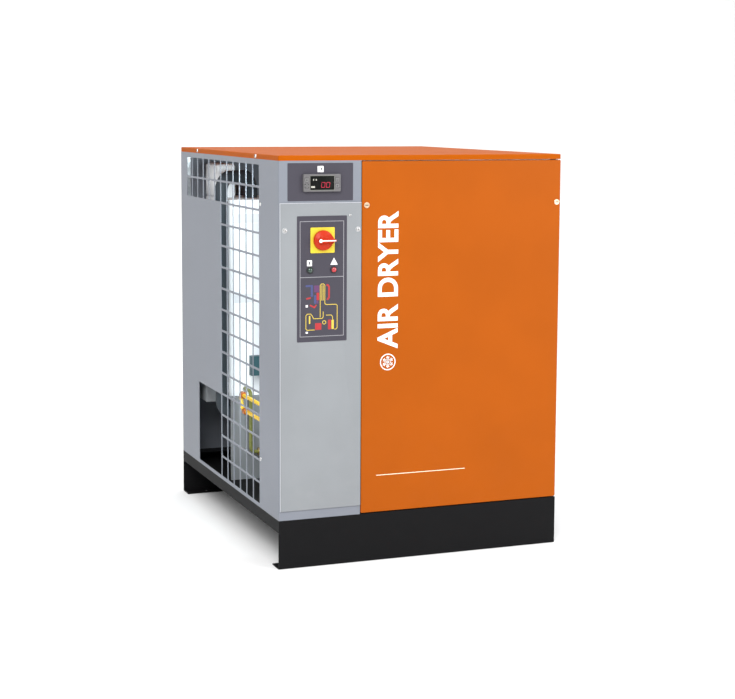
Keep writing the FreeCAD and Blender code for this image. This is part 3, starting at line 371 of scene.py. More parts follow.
FINISH_OF = {name: BY_SLOT[slot] for name, slot in SLOT_OF.items()}
FINISH_OF.update(top_cover=lit_lid_paint, suction_line=pipe_sleeve, pressure_switch=dark_switch,
                 exchanger_bracket=cover_paint, compressor_mounts=rubber)
for name, node in NODES.items():
    node.data.materials.clear()
    node.data.materials.append(FINISH_OF[name])
print("finished", len(FINISH_OF), "nodes")

# %% [markdown]
# ## Tools for making pieces
# Three ways of making cover the whole machine. Flat things with holes are filled curves, because a
# curve fills its own holes and rounds its own edges. Round things are turned from a profile. The
# rest are given as corners and faces. Every piece says which body carries it and which finish it
# takes.

# %% Piece helpers
ROOT = "cabinet"
INK_FILM = 0.12 * MM


def settle(piece, finish, body=ROOT):
    """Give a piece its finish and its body."""
    piece.data.materials.clear()
    piece.data.materials.append(finish)
    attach(piece, body)
    return piece


def in_mm(points):
    """Pairs given in millimetres, as metres."""
    return [(a * MM, b * MM) for a, b in points]


def add_mesh(name, mesh, smooth=40):
    """Link a mesh as a new piece, smooth except across edges sharper than an angle."""
    piece = bpy.data.objects.new(name, mesh)
    bpy.context.scene.collection.objects.link(piece)
    for face in mesh.polygons:
        face.use_smooth = True
    mesh.set_sharp_from_angle(angle=math.radians(smooth))
    return piece


def from_faces(name, points, faces, smooth=40):
    mesh = bpy.data.meshes.new(name)
    mesh.from_pydata([tuple(p) for p in points], [], faces)
    work = bmesh.new()
    work.from_mesh(mesh)
    bmesh.ops.recalc_face_normals(work, faces=work.faces)
    work.to_mesh(mesh)
    work.free()
    return add_mesh(name, mesh, smooth)


def facing(origin, away):
    """A frame at a point whose z points away from the cabinet: '-Y' front, 'X' right, and so on."""
    ways = {"-Y": ((1, 0, 0), (0, 0, 1)), "Y": ((-1, 0, 0), (0, 0, 1)),
            "-X": ((0, -1, 0), (0, 0, 1)), "X": ((0, 1, 0), (0, 0, 1)),
            "Z": ((1, 0, 0), (0, 1, 0))}
    across, up = (Vector(way) for way in ways[away])
    out = across.cross(up)
    turn = Matrix((across, up, out)).transposed().to_4x4()
    return Matrix.Translation(Vector(origin)) @ turn


def flat(name, loops, thick, origin, away="-Y", edge=0.0, smooth=40):
    """A flat shape from closed loops of (across, up) points; inner loops become holes."""
    curve = bpy.data.curves.new(name, "CURVE")
    curve.dimensions, curve.fill_mode = "2D", "BOTH"
    curve.extrude = max(thick / 2 - edge, 0)
    curve.bevel_depth, curve.bevel_resolution, curve.offset = edge, 2, -edge
    for loop in loops:
        spline = curve.splines.new("POLY")
        spline.points.add(len(loop) - 1)
        for point, (x, y) in zip(spline.points, loop):
            point.co = (x, y, 0, 1)
        spline.use_cyclic_u = True
    maker = bpy.data.objects.new(name + "_curve", curve)
    bpy.context.scene.collection.objects.link(maker)
    bpy.context.view_layer.update()
    mesh = bpy.data.meshes.new_from_object(maker)
    bpy.data.objects.remove(maker)
    mesh.name = name
    mesh.transform(facing(origin, away) @ Matrix.Translation((0, 0, thick / 2)))
    work = bmesh.new()
    work.from_mesh(mesh)
    bmesh.ops.remove_doubles(work, verts=work.verts, dist=0.000002)
    work.to_mesh(mesh)
    work.free()
    return add_mesh(name, mesh, smooth)


def ring(radius, count=48, centre=(0, 0), start=0.0):
    return [(centre[0] + radius * math.cos(start + math.tau * i / count),
             centre[1] + radius * math.sin(start + math.tau * i / count)) for i in range(count)]


def box_loop(x0, y0, x1, y1, corner=0.0, steps=5):
    """A rectangle with round corners, anticlockwise."""
    if corner <= 0:
        return [(x0, y0), (x1, y0), (x1, y1), (x0, y1)]
    loop = []
    middles = ((x1 - corner, y0 + corner, -90), (x1 - corner, y1 - corner, 0),
               (x0 + corner, y1 - corner, 90), (x0 + corner, y0 + corner, 180))
    for mx, my, start in middles:
        for i in range(steps + 1):
            angle = math.radians(start + 90 * i / steps)
            loop.append((mx + corner * math.cos(angle), my + corner * math.sin(angle)))
    return loop


def band(points, width):
    """A line of constant width through points, as one closed loop."""
    left, right = [], []
    for i, (x, y) in enumerate(points):
        before = points[max(i - 1, 0)]
        after = points[min(i + 1, len(points) - 1)]
        ways = [Vector((b[0] - a[0], b[1] - a[1])).normalized()
                for a, b in ((before, (x, y)), ((x, y), after)) if a != b]
        way = sum(ways, Vector((0, 0))).normalized()
        normal = Vector((-way.y, way.x))
        reach = width / 2 / max(0.3, normal.dot(Vector((-ways[0].y, ways[0].x))))
        left.append((x + normal.x * reach, y + normal.y * reach))
        right.append((x - normal.x * reach, y - normal.y * reach))
    return left + right[::-1]


def turned(name, profile, origin, away, steps=64, smooth=35):
    """A turned piece from (radius, height) points; the height runs outwards."""
    points, faces, rows = [], [], []
    for radius, height in profile:
        count = 1 if radius < 1e-9 else steps
        rows.append(range(len(points), len(points) + count))
        points += [(x, y, height) for x, y in (ring(radius, steps) if count > 1 else [(0, 0)])]
    for low, high in zip(rows, rows[1:]):
        for i in range(steps):
            j = (i + 1) % steps
            loop = [low[i % len(low)], low[j % len(low)], high[j % len(high)], high[i % len(high)]]
            corners = list(dict.fromkeys(loop))
            if len(corners) > 2:
                faces.append(corners)
    placed = facing(origin, away)
    return from_faces(name, [placed @ Vector(p) for p in points], faces, smooth)


def loft(name, loops, origin, away, smooth=35, close=True):
    """A skin through loops of equal count: each loop is ([(across, up), ...], height)."""
    count = len(loops[0][0])
    points = [(x, y, height) for loop, height in loops for x, y in loop]
    faces = []
    for k in range(len(loops) - 1):
        for i in range(count):
            j = (i + 1) % count
            faces.append((k * count + i, k * count + j, (k + 1) * count + j, (k + 1) * count + i))
    if close:
        faces.append(tuple(range(count))[::-1])
        faces.append(tuple(range((len(loops) - 1) * count, len(loops) * count)))
    placed = facing(origin, away)
    return from_faces(name, [placed @ Vector(p) for p in points], faces, smooth)


def join(name, pieces):
    """Several meshes of one finish become one piece."""
    work = bmesh.new()
    for piece in pieces:
        work.from_mesh(piece.data)
        bpy.data.objects.remove(piece)
    mesh = bpy.data.meshes.new(name)
    work.to_mesh(mesh)
    work.free()
    piece = bpy.data.objects.new(name, mesh)
    bpy.context.scene.collection.objects.link(piece)
    return piece


def middle_of(node):
    low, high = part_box(node)
    return (low + high) / 2


print("tools ready")

# %% [markdown]
# ## Temperature controller
# A panel-mounted controller snaps into a cut-out: a pale moulded bezel, a dark window, keys at both
# ends, and a body behind the sheet. The bezel is a filled curve with holes for the window and the
# keys, with its edge rounded by the curve itself; the keys are separate because they move.

# %% Controller bezel and window
bezel_low, bezel_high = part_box("controller_housing")
window_low, window_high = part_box("controller_window")
KEYS = [name for name in NODES if name.startswith("controller_key_")]
display = (window_low + window_high) / 2
bezel_face = bezel_low.y
bezel_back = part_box("controller_label")[0].y
bezel_half = Vector(((bezel_high.x - bezel_low.x) / 2, (bezel_high.z - bezel_low.z) / 2))


def around(low, high, origin, grow=0.0, corner=0.0):
    """The outline of a box seen from the front, measured from an origin."""
    return box_loop(low.x - origin.x - grow, low.z - origin.z - grow,
                    high.x - origin.x + grow, high.z - origin.z + grow, corner)


spot = Vector((display.x, bezel_back, display.z))
holes = [around(window_low, window_high, spot, 0.3 * MM, 1 * MM)]
holes += [around(*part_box(name), spot, 0.25 * MM, 1.2 * MM) for name in KEYS]
bezel_loop = box_loop(-bezel_half.x, -bezel_half.y, bezel_half.x, bezel_half.y, 3 * MM)
front_frame = flat("controller_bezel", [bezel_loop, *holes], spot.y - bezel_face, spot, "-Y",
                   edge=0.9 * MM)
floor_loop = box_loop(-bezel_half.x + MM, -bezel_half.y + MM, bezel_half.x - MM,
                      bezel_half.y - MM, 2 * MM)
floor_plate = flat("controller_floor", [floor_loop], 2 * MM, spot, "-Y")
body_half = Vector((35.5 * MM, 14.5 * MM))
back_loop = box_loop(-body_half.x, -body_half.y, body_half.x, body_half.y, 1.5 * MM)
back_box = flat("controller_back", [back_loop],
                bezel_high.y - bezel_back, (spot.x, bezel_high.y, spot.z), "-Y", edge=0.6 * MM)
bezel = join("controller_bezel", [front_frame, floor_plate, back_box])
settle(bezel, moulded("pale_bezel_plastic", rgba(0.110, 0.106, 0.110), 0.45))
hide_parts("controller_housing")
pane_loop = around(window_low, window_high, spot, 0, 0.8 * MM)
PANE_THICK = 6 * MM
pane = flat("display_pane", [pane_loop], PANE_THICK, spot, "-Y", edge=0.4 * MM)
settle(pane, window_film)
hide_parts("controller_window")
PANE_FACE = spot.y - PANE_THICK
print("bezel faces", len(bezel.data.polygons))

# %% [markdown]
# ### Digits
# A seven-segment digit is seven slim hexagons leaning a little to the right. A zero lights all but
# the middle one. The unlit segment is left out: behind a dark window it can't be seen.


# %% Digits and small signs
def segment(start, end, width, lean):
    """One slim hexagon from start to end."""
    a, b = Vector(start), Vector(end)
    way = (b - a).normalized()
    side = Vector((-way.y, way.x)) * width / 2
    a, b = a + way * width * 0.15, b - way * width * 0.15
    tip = way * width / 2
    loop = [a, a + tip + side, b - tip + side, b, b - tip - side, a + tip - side]
    return [(p.x + p.y * lean, p.y) for p in loop]


def zero(left, low, wide, tall, width, lean=0.12):
    x0, x1, y0, y1, y2 = left, left + wide, low, low + tall / 2, low + tall
    runs = [((x0, y2), (x1, y2)), ((x1, y2), (x1, y1)), ((x1, y1), (x1, y0)),
            ((x1, y0), (x0, y0)), ((x0, y0), (x0, y1)), ((x0, y1), (x0, y2))]
    return [segment(a, b, width, lean) for a, b in runs]


at_pane = Vector((display.x, PANE_FACE, display.z))
DIGIT_LOW, DIGIT_WIDE, DIGIT_TALL, STROKE = -10.5 * MM, 8.2 * MM, 11.5 * MM, 0.9 * MM
GLOW_FILM = 0.15 * MM
loops = [loop for left in (-0.5 * MM, 11.5 * MM)
         for loop in zero(left, DIGIT_LOW, DIGIT_WIDE, DIGIT_TALL, STROKE)]
digits = flat("display_digits", loops, GLOW_FILM, at_pane, "-Y")
settle(digits, digit_glow)
signs = [in_mm(loop) for loop in (box_loop(-22, 5.5, -19.6, 9), box_loop(-15.6, 5.5, -13, 9),
                                  box_loop(-27, -11.5, -17.5, -7.5, 0.8))]
sign_plate = flat("display_signs", signs, GLOW_FILM, at_pane, "-Y")
settle(sign_plate, ink("pale_sign_ink", rgba(0.42, 0.42, 0.36)))
frame_loops = [around(window_low, window_high, spot, 1.2 * MM, 1.6 * MM),
               around(window_low, window_high, spot, 0.2 * MM, 0.9 * MM)]
window_rim = flat("window_rim", frame_loops, 0.4 * MM, (spot.x, bezel_face, spot.z), "-Y",
                  edge=0.12 * MM)
settle(window_rim, ink("rim_ink", rgba(0.16, 0.165, 0.14)))
print("digits", len(loops), "segments")

# %% [markdown]
# ### Keys
# Each key is a soft-edged cap with a raised sign: arrows on the left pair, a set mark and a fan
# mark on the right. A cap rides on its own body, so it goes in when the key is pressed.

# %% Key caps
KEY_SIGNS = {
    "controller_key_left_upper": [[(-2.2, -1.4), (2.2, -1.4), (0, 2.2)]],
    "controller_key_left_lower": [ring(2.6, 32), ring(1.7, 32)],
    "controller_key_right_upper": [box_loop(-2.4, 0.9, 2.4, 1.7), box_loop(-2.4, -1.7, 2.4, -0.9)],
    "controller_key_right_lower": [box_loop(-0.5, -2.4, 0.5, 2.4), box_loop(-2.4, -0.4, -0.6, 0.4),
                                   box_loop(0.6, -0.4, 2.4, 0.4)],
}
for name in KEYS:
    low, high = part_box(name)
    centre = Vector(((low.x + high.x) / 2, high.y, (low.z + high.z) / 2))
    reach = (high.x - low.x) / 2
    outline = ring(reach, 40) if name.endswith("left_lower") else \
        box_loop(-reach, -reach, reach, reach, 1.4 * MM)
    cap = flat(name + "_cap", [outline], high.y - low.y, centre, "-Y", edge=0.5 * MM)
    body = name.replace("controller_", "")
    settle(cap, moulded(name + "_plastic", rgba(0.150, 0.148, 0.150), 0.45), body)
    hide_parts(name)
    sign = [in_mm(loop) for loop in KEY_SIGNS[name]]
    mark = flat(name + "_mark", sign, INK_FILM, (centre.x, low.y, centre.z), "-Y")
    settle(mark, black_ink, body)
print(len(KEYS), "keys")

# %% [markdown]
# ## Labels
# Both labels are dark printed film. The marks are a film of ink on top: a frame with one divider,
# a few plain signs, and a flow diagram of the cooling circuit below. The diagram here is a free
# drawing of such a circuit: pipes in yellow, warm parts in red, cold parts in blue.


# %% Printed marks
def printed(name, front, shapes, finish, thick=0.1 * MM):
    """Marks given in millimetres from the cabinet's corner; a shape is an outline and its holes."""
    base = Vector((LOW.x + SKIN_SIDE, front, 0))
    films = [flat(f"{name}_{k}", [in_mm(loop) for loop in shape], thick, base, "-Y")
             for k, shape in enumerate(shapes)]
    return settle(join(name, films), finish)


SKIN_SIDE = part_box("left_panel")[0].x - LOW.x
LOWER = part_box("control_label")[0].y
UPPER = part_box("controller_label")[0].y
frame_marks = [box_loop(51, 555, 160.5, 827), box_loop(52.3, 556.3, 159.2, 694.8),
               box_loop(52.3, 696.2, 159.2, 825.7)]
printed("label_frame", LOWER, [frame_marks], pale_line)
lamp_signs = [box_loop(68.6, 721.8, 80.9, 735.6, 0.8), box_loop(73.4, 725.2, 76.6, 732.4, 1.2),
              [(126.6, 723.6), (145, 723.6), (135.8, 740.4)],
              [(135.0, 727.5), (136.6, 727.5), (136.9, 734), (134.7, 734)]]
printed("lamp_signs", LOWER, [lamp_signs[:2], lamp_signs[2:]], white_ink)
chip = [[box_loop(99.8, 940.7, 110.4, 955.2, 0.6), ring(2.3, 24, (105.2, 948.2))],
        [box_loop(95.6, 940.7, 98.2, 955.2, 0.4)]]
printed("controller_sign", UPPER, chip, white_ink)

PIPE = 1.5
yellow_runs = [
    [(101.5, 600), (101.5, 676), (104.5, 679), (110, 679), (113, 676), (113, 633), (116, 630),
     (141, 630), (144, 627), (144, 574), (141, 571), (137, 571)],
    [(88, 571), (69, 571), (66, 574), (66, 605), (69, 609), (78, 609), (82, 604), (85, 597.5),
     (106, 597.5), (109, 601), (109, 614)],
    [(116, 605), (129, 605), (132.5, 601), (132.5, 594)],
    [(105.5, 676), (105.5, 640)], [(109, 676), (109, 640)],
]
yellow_shapes = [[band(run, PIPE)] for run in yellow_runs]
yellow_shapes += [[box_loop(73.4, 586, 77, 605, 1)], [box_loop(129.8, 571.5, 135.6, 593.5, 0.8)],
                  [ring(4.8, 32, (111.5, 588)), ring(3.3, 32, (111.5, 588))]]
printed("diagram_yellow", LOWER, yellow_shapes, yellow_ink)
red_shapes = [[box_loop(89, 571, 104.5, 587, 1)], [box_loop(121, 571, 128.4, 594, 1)],
              [band([(117, 676), (121, 676), (123.5, 672), (123.5, 647), (119, 641)], 4.2)],
              [band([(76, 630), (87, 624), (92, 630)], 3.4)],
              [band([(67, 645), (78, 647)], 3.6)], [box_loop(92.5, 641, 99, 659, 1)]]
printed("diagram_red", LOWER, red_shapes, red_ink)
violet_shapes = [[box_loop(86, 660, 99.4, 676, 1)], [band([(94.5, 633), (94.5, 640)], 5)]]
printed("diagram_violet", LOWER, violet_shapes, violet_ink)
blue_shapes = [[box_loop(65.5, 673, 77.5, 677.4, 0.5)], [box_loop(78, 650, 83.4, 677.4, 0.8)],
               [box_loop(86, 633, 91.4, 653, 0.8)]]
printed("diagram_blue", LOWER, blue_shapes, blue_ink)
tags = [[box_loop(65.5, 625, 71, 630.5, 0.5)], [box_loop(65.5, 563, 71, 567.5, 0.5)]]
printed("diagram_tags", LOWER, tags, white_ink)
print("diagram marks", len(yellow_shapes) + len(red_shapes) + len(blue_shapes))

# %% [markdown]
# ## Main switch
# The handle is one moulding: a teardrop whose back is a full disc and whose top narrows to a ridge
# that points at the setting. A loft through five teardrops gives that shape, and its edges catch
# light the way a moulding does. The white pointer is a filled groove, so it is a separate inlay.


# %% Handle of the main switch
def teardrop(big, small, reach, count=72):
    """A disc and a small tip joined by their common tangents, as evenly spread points."""
    tilt = math.acos((big - small) / reach)
    loop = []
    for i in range(count):
        share = i / count
        if share < 0.72:
            angle = tilt + (math.tau - 2 * tilt) * share / 0.72
            loop.append((big * math.cos(angle), big * math.sin(angle)))
        else:
            angle = -tilt + 2 * tilt * (share - 0.72) / 0.28
            loop.append((reach + small * math.cos(angle), small * math.sin(angle)))
    return loop


knob_low, knob_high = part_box("switch_knob")
plate_low, plate_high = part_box("switch_plate")
disc_radius = (knob_high.z - knob_low.z) / 2
knob_at = Vector((knob_low.x + disc_radius, plate_low.y, (knob_low.z + knob_high.z) / 2))
tip = knob_high.x - knob_at.x
tall = plate_low.y - knob_low.y
LAYERS = [(23.2, 4.4, 0.4, 0), (23.5, 4.5, 1.0, 0), (23.5, 4.5, 7.6, 0), (22.9, 4.2, 8.8, 0),
          (20.5, 3.9, 10.0, 0), (12.0, 3.7, 13.6, -3), (8.0, 3.3, 17.2, -7),
          (6.2, 3.0, 19.8, -10), (5.6, 2.6, 21.2, -11.2), (4.8, 1.8, 21.8, -11.8)]
TOP = LAYERS[-1][2]
handle_loops = []
for big, small, height, back in LAYERS:
    reach = tip - (small + back + max(0, height - 8) * 0.04) * MM
    loop = [(x + back * MM, y) for x, y in teardrop(big * MM, small * MM, reach)]
    handle_loops.append((loop, height * tall / TOP))
handle = loft("switch_handle", handle_loops, knob_at, "-Y", smooth=32)
settle(handle, red_plastic, "main_switch")
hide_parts("switch_knob")
collar = turned("switch_collar", [(9, 0.0), (11.6, 0.0), (11.6, 0.5), (9, 0.5)], (0, 0, 0), "-Y")
collar.data.transform(Matrix.Translation(knob_at) @ Matrix.Scale(MM, 4))
settle(collar, black_plastic, "main_switch")


def inlay(name, loops, height):
    """White filling that lies in the handle's ridge."""
    scaled = [in_mm(loop) for loop in loops]
    piece = flat(name, scaled, 0.25 * MM, knob_at + Vector((0, -height, 0)), "-Y", edge=0.08 * MM)
    return settle(piece, white_ink, "main_switch")


inlay("switch_pointer", [band([(-8.0, 0), (25.6, 0)], 2.6)], tall)
inlay("switch_dot", [ring(4.2, 40, (-12.0, 0))], tall)
print("handle height", round(tall / MM, 1), "mm")

# %% [markdown]
# ### Plate behind the handle
# The plate is one square moulding with a round bore for the handle's collar, and its edge is
# rounded so that it catches a thin line of light.

# %% Yellow plate of the main switch
plate_mid = (plate_low + plate_high) / 2
half = (plate_high.x - plate_low.x) / 2
origin = Vector((plate_mid.x, plate_high.y, plate_mid.z))
plate_loop = box_loop(-half, -half, half, half, 2 * MM)
bore = ring(11 * MM, 48, (knob_at.x - plate_mid.x, knob_at.z - plate_mid.z))
plate = flat("switch_plate_moulding", [plate_loop, bore], plate_high.y - plate_low.y, origin,
             "-Y", edge=0.35 * MM)
settle(plate, yellow_plastic)
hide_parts("switch_plate")
print("plate", round(2 * half / MM, 1), "mm square")

# %% [markdown]
# ## Pilot lamps
# A lens is a low dome with a stepped rim, seated in a black bezel that clamps on the cover. Turning
# both from profiles is exactly how their moulds are cut.

# %% Lamps
for node, finish in (("green_lamp_lens", green_lens), ("red_lamp_lens", red_lens)):
    low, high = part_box(node)
    at = Vector(((low.x + high.x) / 2, high.y, (low.z + high.z) / 2))
    radius, tall = (high.x - low.x) / 2, high.y - low.y
    dome = [(0, 0), (radius, 0), (radius, tall * 0.5), (radius * 0.95, tall * 0.56)]
    dome += [(radius * 0.9 * math.cos(a), tall * (0.56 + 0.44 * math.sin(a)))
             for a in [math.radians(10 * k) for k in range(9)]] + [(0, tall)]
    cap = turned(node.replace("lens", "dome"), dome, at, "-Y", 48)
    settle(cap, finish)
    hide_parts(node)
    rim = [(6.05, 0), (8.4, 0), (8.4, 1.0), (7.9, 1.9), (7.0, 2.3), (6.3, 2.0), (6.05, 1.2)]
    bezel_ring = turned(node.replace("lens", "bezel"), in_mm(rim), at, "-Y", 48)
    settle(bezel_ring, black_plastic)
print("two lamps")

# %% [markdown]
# ## Screws
# A button head is a dome with a hexagon socket. The socket is what makes it read as a screw, so
# the inner rings of the turned head change from a circle to a hexagon and go down.


# %% Button-head screws
def hexagon(flats, count=48):
    """A hexagon with as many points as a circle has, so that the two can be joined."""
    loop = []
    for i in range(count):
        angle = math.tau * i / count
        off = (angle + math.pi / 6) % (math.pi / 3) - math.pi / 6
        radius = flats / 2 / math.cos(off)
        loop.append((radius * math.cos(angle), radius * math.sin(angle)))
    return loop


def button_screw(name, at, away, radius):
    tall = radius * 0.55
    loops = [(ring(radius, 48), 0), (ring(radius, 48), tall * 0.2),
             (ring(radius * 0.93, 48), tall * 0.55), (ring(radius * 0.8, 48), tall * 0.86),
             (ring(radius * 0.62, 48), tall), (hexagon(radius * 0.94), tall),
             (hexagon(radius * 0.88), tall * 0.94), (hexagon(radius * 0.86), tall * 0.25)]
    return loft(name, loops, at, away, 30)


def screws(name, places, radius, replaced=None, body=ROOT):
    heads = [button_screw(name, at, away, radius * scale) for at, away, scale in places]
    piece = join(name, heads)
    piece.data.set_sharp_from_angle(angle=math.radians(30))
    settle(piece, bright_zinc, body)
    if replaced:
        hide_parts(replaced)
    return piece


def island_places(node):
    """The middle of each loose solid of a node."""
    work = bmesh.new()
    work.from_mesh(NODES[node].data)
    bmesh.ops.remove_doubles(work, verts=work.verts, dist=0.00001)
    left, found = set(work.verts), []
    while left:
        stack, seen = [left.pop()], []
        while stack:
            vert = stack.pop()
            seen.append(vert.co.copy())
            for edge in vert.link_edges:
                other = edge.other_vert(vert)
                if other in left:
                    left.remove(other)
                    stack.append(other)
        low = Vector([min(p[k] for p in seen) for k in range(3)])
        high = Vector([max(p[k] for p in seen) for k in range(3)])
        found.append((low, high))
    work.free()
    return sorted(found, key=lambda pair: tuple(round(c, 4) for c in pair[0]))


SCREW_RADIUS = 4.75 * MM
sides = []
for low, high in island_places("cabinet_screws"):
    mid = (low + high) / 2
    if high.y - low.y < 5 * MM:
        sides.append((Vector((mid.x, low.y, mid.z)), "Y", 1))
    elif mid.x < 0:
        sides.append((Vector((high.x, mid.y, mid.z)), "-X", 1))
    else:
        sides.append((Vector((low.x, mid.y, mid.z)), "X", 1))
screws("cabinet_screw_heads", sides, SCREW_RADIUS, "cabinet_screws")
covers = []
for low, high in island_places("control_cover_screws"):
    mid = (low + high) / 2
    covers.append((Vector((mid.x, high.y, mid.z)), "-Y", (high.x - low.x) / (2 * SCREW_RADIUS)))
screws("cover_screw_heads", covers, SCREW_RADIUS, "control_cover_screws")
for i, (at, away, scale) in enumerate(covers):
    if scale > 0.9:
        washer = [(4.9, 0), (6.4, 0), (6.4, 0.5), (6.0, 0.8), (5.2, 0.8), (4.9, 0.6)]
        rim = turned(f"cover_washer_{i}", in_mm(washer), at, "-Y", 40)
        settle(rim, nylon)
print(len(sides) + len(covers), "screws")

# %% [markdown]
# ## Quarter-turn fasteners
# The coloured panel hangs on two of these. A wide slot for a coin or a driver crosses a dished
# head, and a plain ring is pressed round it. Both heads ride on bodies that turn a quarter turn.

# %% Quarter-turn heads
STUD, STUD_LONG = 2.9, 15
for side in ("left", "right"):
    node = f"panel_fastener_{side}"
    low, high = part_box(node)
    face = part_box("front_panel")[0].y
    at = Vector(((low.x + high.x) / 2, face, (low.z + high.z) / 2))
    radius = (high.x - low.x) / 2
    wide = radius / MM
    dish = [(0, -STUD_LONG), (STUD, -STUD_LONG), (STUD, 0), (wide, 0), (wide, 1.3),
            (wide - 0.7, 2.0), (wide - 1.6, 2.0), (wide - 2.2, 1.4), (0, 1.2)]
    head = turned(f"quarter_turn_head_{side}", dish, (0, 0, 0), "-Y", 48)
    head.data.transform(Matrix.Translation(at) @ Matrix.Scale(MM, 4))
    settle(head, warm_zinc, f"{side}_fastener")
    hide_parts(node)
    # Painted shade: the slot is not cut; a thin black film on the head stands for the dark inside
    # the slot.
    slot_shade_film = flat(f"quarter_turn_slot_{side}", [in_mm(box_loop(-4.6, -0.9, 4.6, 0.9, 0.4))],
                    0.1 * MM, at + Vector((0, -1.28 * MM, 0)), "-Y")
    settle(slot_shade_film, black_ink, f"{side}_fastener")
print("two quarter-turn heads")

# %% [markdown]
# ## Marks on the coloured front
# The front carries large plain lettering that names what the machine is, a round sign and a thin
# rule. The sign is a snow crystal, the usual mark for cooling: six arms with small branches, made
# by turning one arm. The words are built from Blender's own plain typeface.

# %% Lettering and sign on the front
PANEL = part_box("front_panel")[0].y


def front_mark(name, loops, finish, body="front_door"):
    base = Vector((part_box("left_panel")[0].x, PANEL, 0))
    mark = flat(name, [in_mm(loop) for loop in loops], INK_FILM, base, "-Y")
    return settle(mark, finish, body)


def crystal(cx, cy, size, width):
    """Six branching arms round a centre."""
    loops = []
    for k in range(6):
        turn = Matrix.Rotation(math.radians(60 * k), 2)
        arm = [(0, 0), (0, size)]
        twigs = [[(-size * 0.26, size * 0.84), (0, size * 0.58), (size * 0.26, size * 0.84)],
                 [(-size * 0.2, size * 0.55), (0, size * 0.34), (size * 0.2, size * 0.55)]]
        for run in [arm, *twigs]:
            spots = [turn @ Vector(p) for p in run]
            loops.append(band([(cx + p.x, cy + p.y) for p in spots], width))
    return loops


front_mark("front_rule", [box_loop(247, 209.2, 481, 210.8)], cream_ink)
SIGN_AT = (275, 485)
front_mark("front_sign_ring", [ring(20, 72, SIGN_AT), ring(17.6, 72, SIGN_AT)], white_ink)
arms = [front_mark(f"arm_{k}", [loop], white_ink) for k, loop in
        enumerate(crystal(*SIGN_AT, 14.6, 1.9))]
sign = join("front_sign_crystal", arms)
settle(sign, white_ink, "front_door")


def lettering(name, words, centre, length, tall):
    """Plain words as a thin film that reads upwards."""
    text = bpy.data.curves.new(name, "FONT")
    text.body, text.align_x, text.align_y = words, "CENTER", "CENTER"
    text.offset = 0.026
    maker = bpy.data.objects.new(name + "_text", text)
    bpy.context.scene.collection.objects.link(maker)
    bpy.context.view_layer.update()
    mesh = bpy.data.meshes.new_from_object(maker)
    bpy.data.objects.remove(maker)
    xs, ys = [v.co.x for v in mesh.vertices], [v.co.y for v in mesh.vertices]
    mesh.transform(Matrix.Translation((-(max(xs) + min(xs)) / 2, -(max(ys) + min(ys)) / 2, 0)))
    grow = (length * MM / (max(xs) - min(xs)), tall * MM / (max(ys) - min(ys)), 1, 1)
    turn = Matrix.Rotation(math.pi / 2, 4, "Z")
    base = Vector((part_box("left_panel")[0].x + centre[0] * MM, PANEL, centre[1] * MM))
    mesh.transform(facing(base, "-Y") @ turn @ Matrix.Diagonal(grow))
    work = bmesh.new()
    work.from_mesh(mesh)
    bmesh.ops.remove_doubles(work, verts=work.verts, dist=0.000001)
    grown = bmesh.ops.extrude_face_region(work, geom=work.faces[:])
    moved = [item for item in grown["geom"] if isinstance(item, bmesh.types.BMVert)]
    bmesh.ops.translate(work, verts=moved, vec=(0, -INK_FILM, 0))
    bmesh.ops.recalc_face_normals(work, faces=work.faces)
    work.to_mesh(mesh)
    work.free()
    piece = add_mesh(name, mesh, 30)
    return settle(piece, white_ink, "front_door")


lettering("front_words", "AIR DRYER", (274, 682), 330, 52)
print("front marks done")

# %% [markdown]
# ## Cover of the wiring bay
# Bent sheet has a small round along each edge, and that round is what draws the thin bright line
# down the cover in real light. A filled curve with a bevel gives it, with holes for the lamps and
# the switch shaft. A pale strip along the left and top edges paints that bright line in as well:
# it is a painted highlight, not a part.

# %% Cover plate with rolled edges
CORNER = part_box("base_front_rail")[0]


def at_cabinet(x, y, z):
    """A point from the cabinet's lower front left corner, in millimetres."""
    return CORNER + Vector((x, y, z)) * MM


def seen_from_front(low, high):
    """A box's outline, across and up from the cabinet's corner, in metres."""
    return (low.x - CORNER.x, low.z - CORNER.z, high.x - CORNER.x, high.z - CORNER.z)


cover_low, cover_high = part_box("control_cover")
lamp_spots = [middle_of(node) for node in ("green_lamp_lens", "red_lamp_lens")]
cover_loops = [box_loop(*seen_from_front(cover_low, cover_high), 1.5 * MM)]
for spot_at, radius in ((lamp_spots[0], 7.6), (lamp_spots[1], 7.6), (knob_at, 12)):
    cover_loops.append(ring(radius * MM, 40, (spot_at.x - CORNER.x, spot_at.z - CORNER.z)))
cover_base = Vector((CORNER.x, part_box("left_panel")[0].y, CORNER.z))
cover_piece = flat("bay_cover", cover_loops, cover_base.y - cover_low.y, cover_base, "-Y",
                   edge=1.0 * MM)
settle(cover_piece, cover_paint)
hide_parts("control_cover")
left_edge, low_edge, right_edge, high_edge = (value / MM for value in
                                               seen_from_front(cover_low, cover_high))
# Painted highlight: a pale strip along the cover's left and top edges stands for the light the
# rolled edge catches.
edge_highlight_loop = [(left_edge - 1.5, low_edge), (left_edge - 0.2, low_edge),
               (left_edge - 0.2, high_edge + 0.2), (right_edge, high_edge + 0.2),
               (right_edge, high_edge + 1.6), (left_edge - 1.5, high_edge + 1.6)]
edge_highlight_strip = flat("cover_gasket", [in_mm(edge_highlight_loop)], 2.4 * MM, cover_base, "-Y", edge=0.3 * MM)
settle(edge_highlight_strip, moulded("pale_gasket", rgba(0.42, 0.43, 0.46), 0.5))
print("cover", len(cover_piece.data.polygons), "faces")

# %% [markdown]
# ### Edge of the coloured front
# A strip of rubber closes the gap between the cover's column and the coloured front. It rides on
# the front, so it leaves with it.

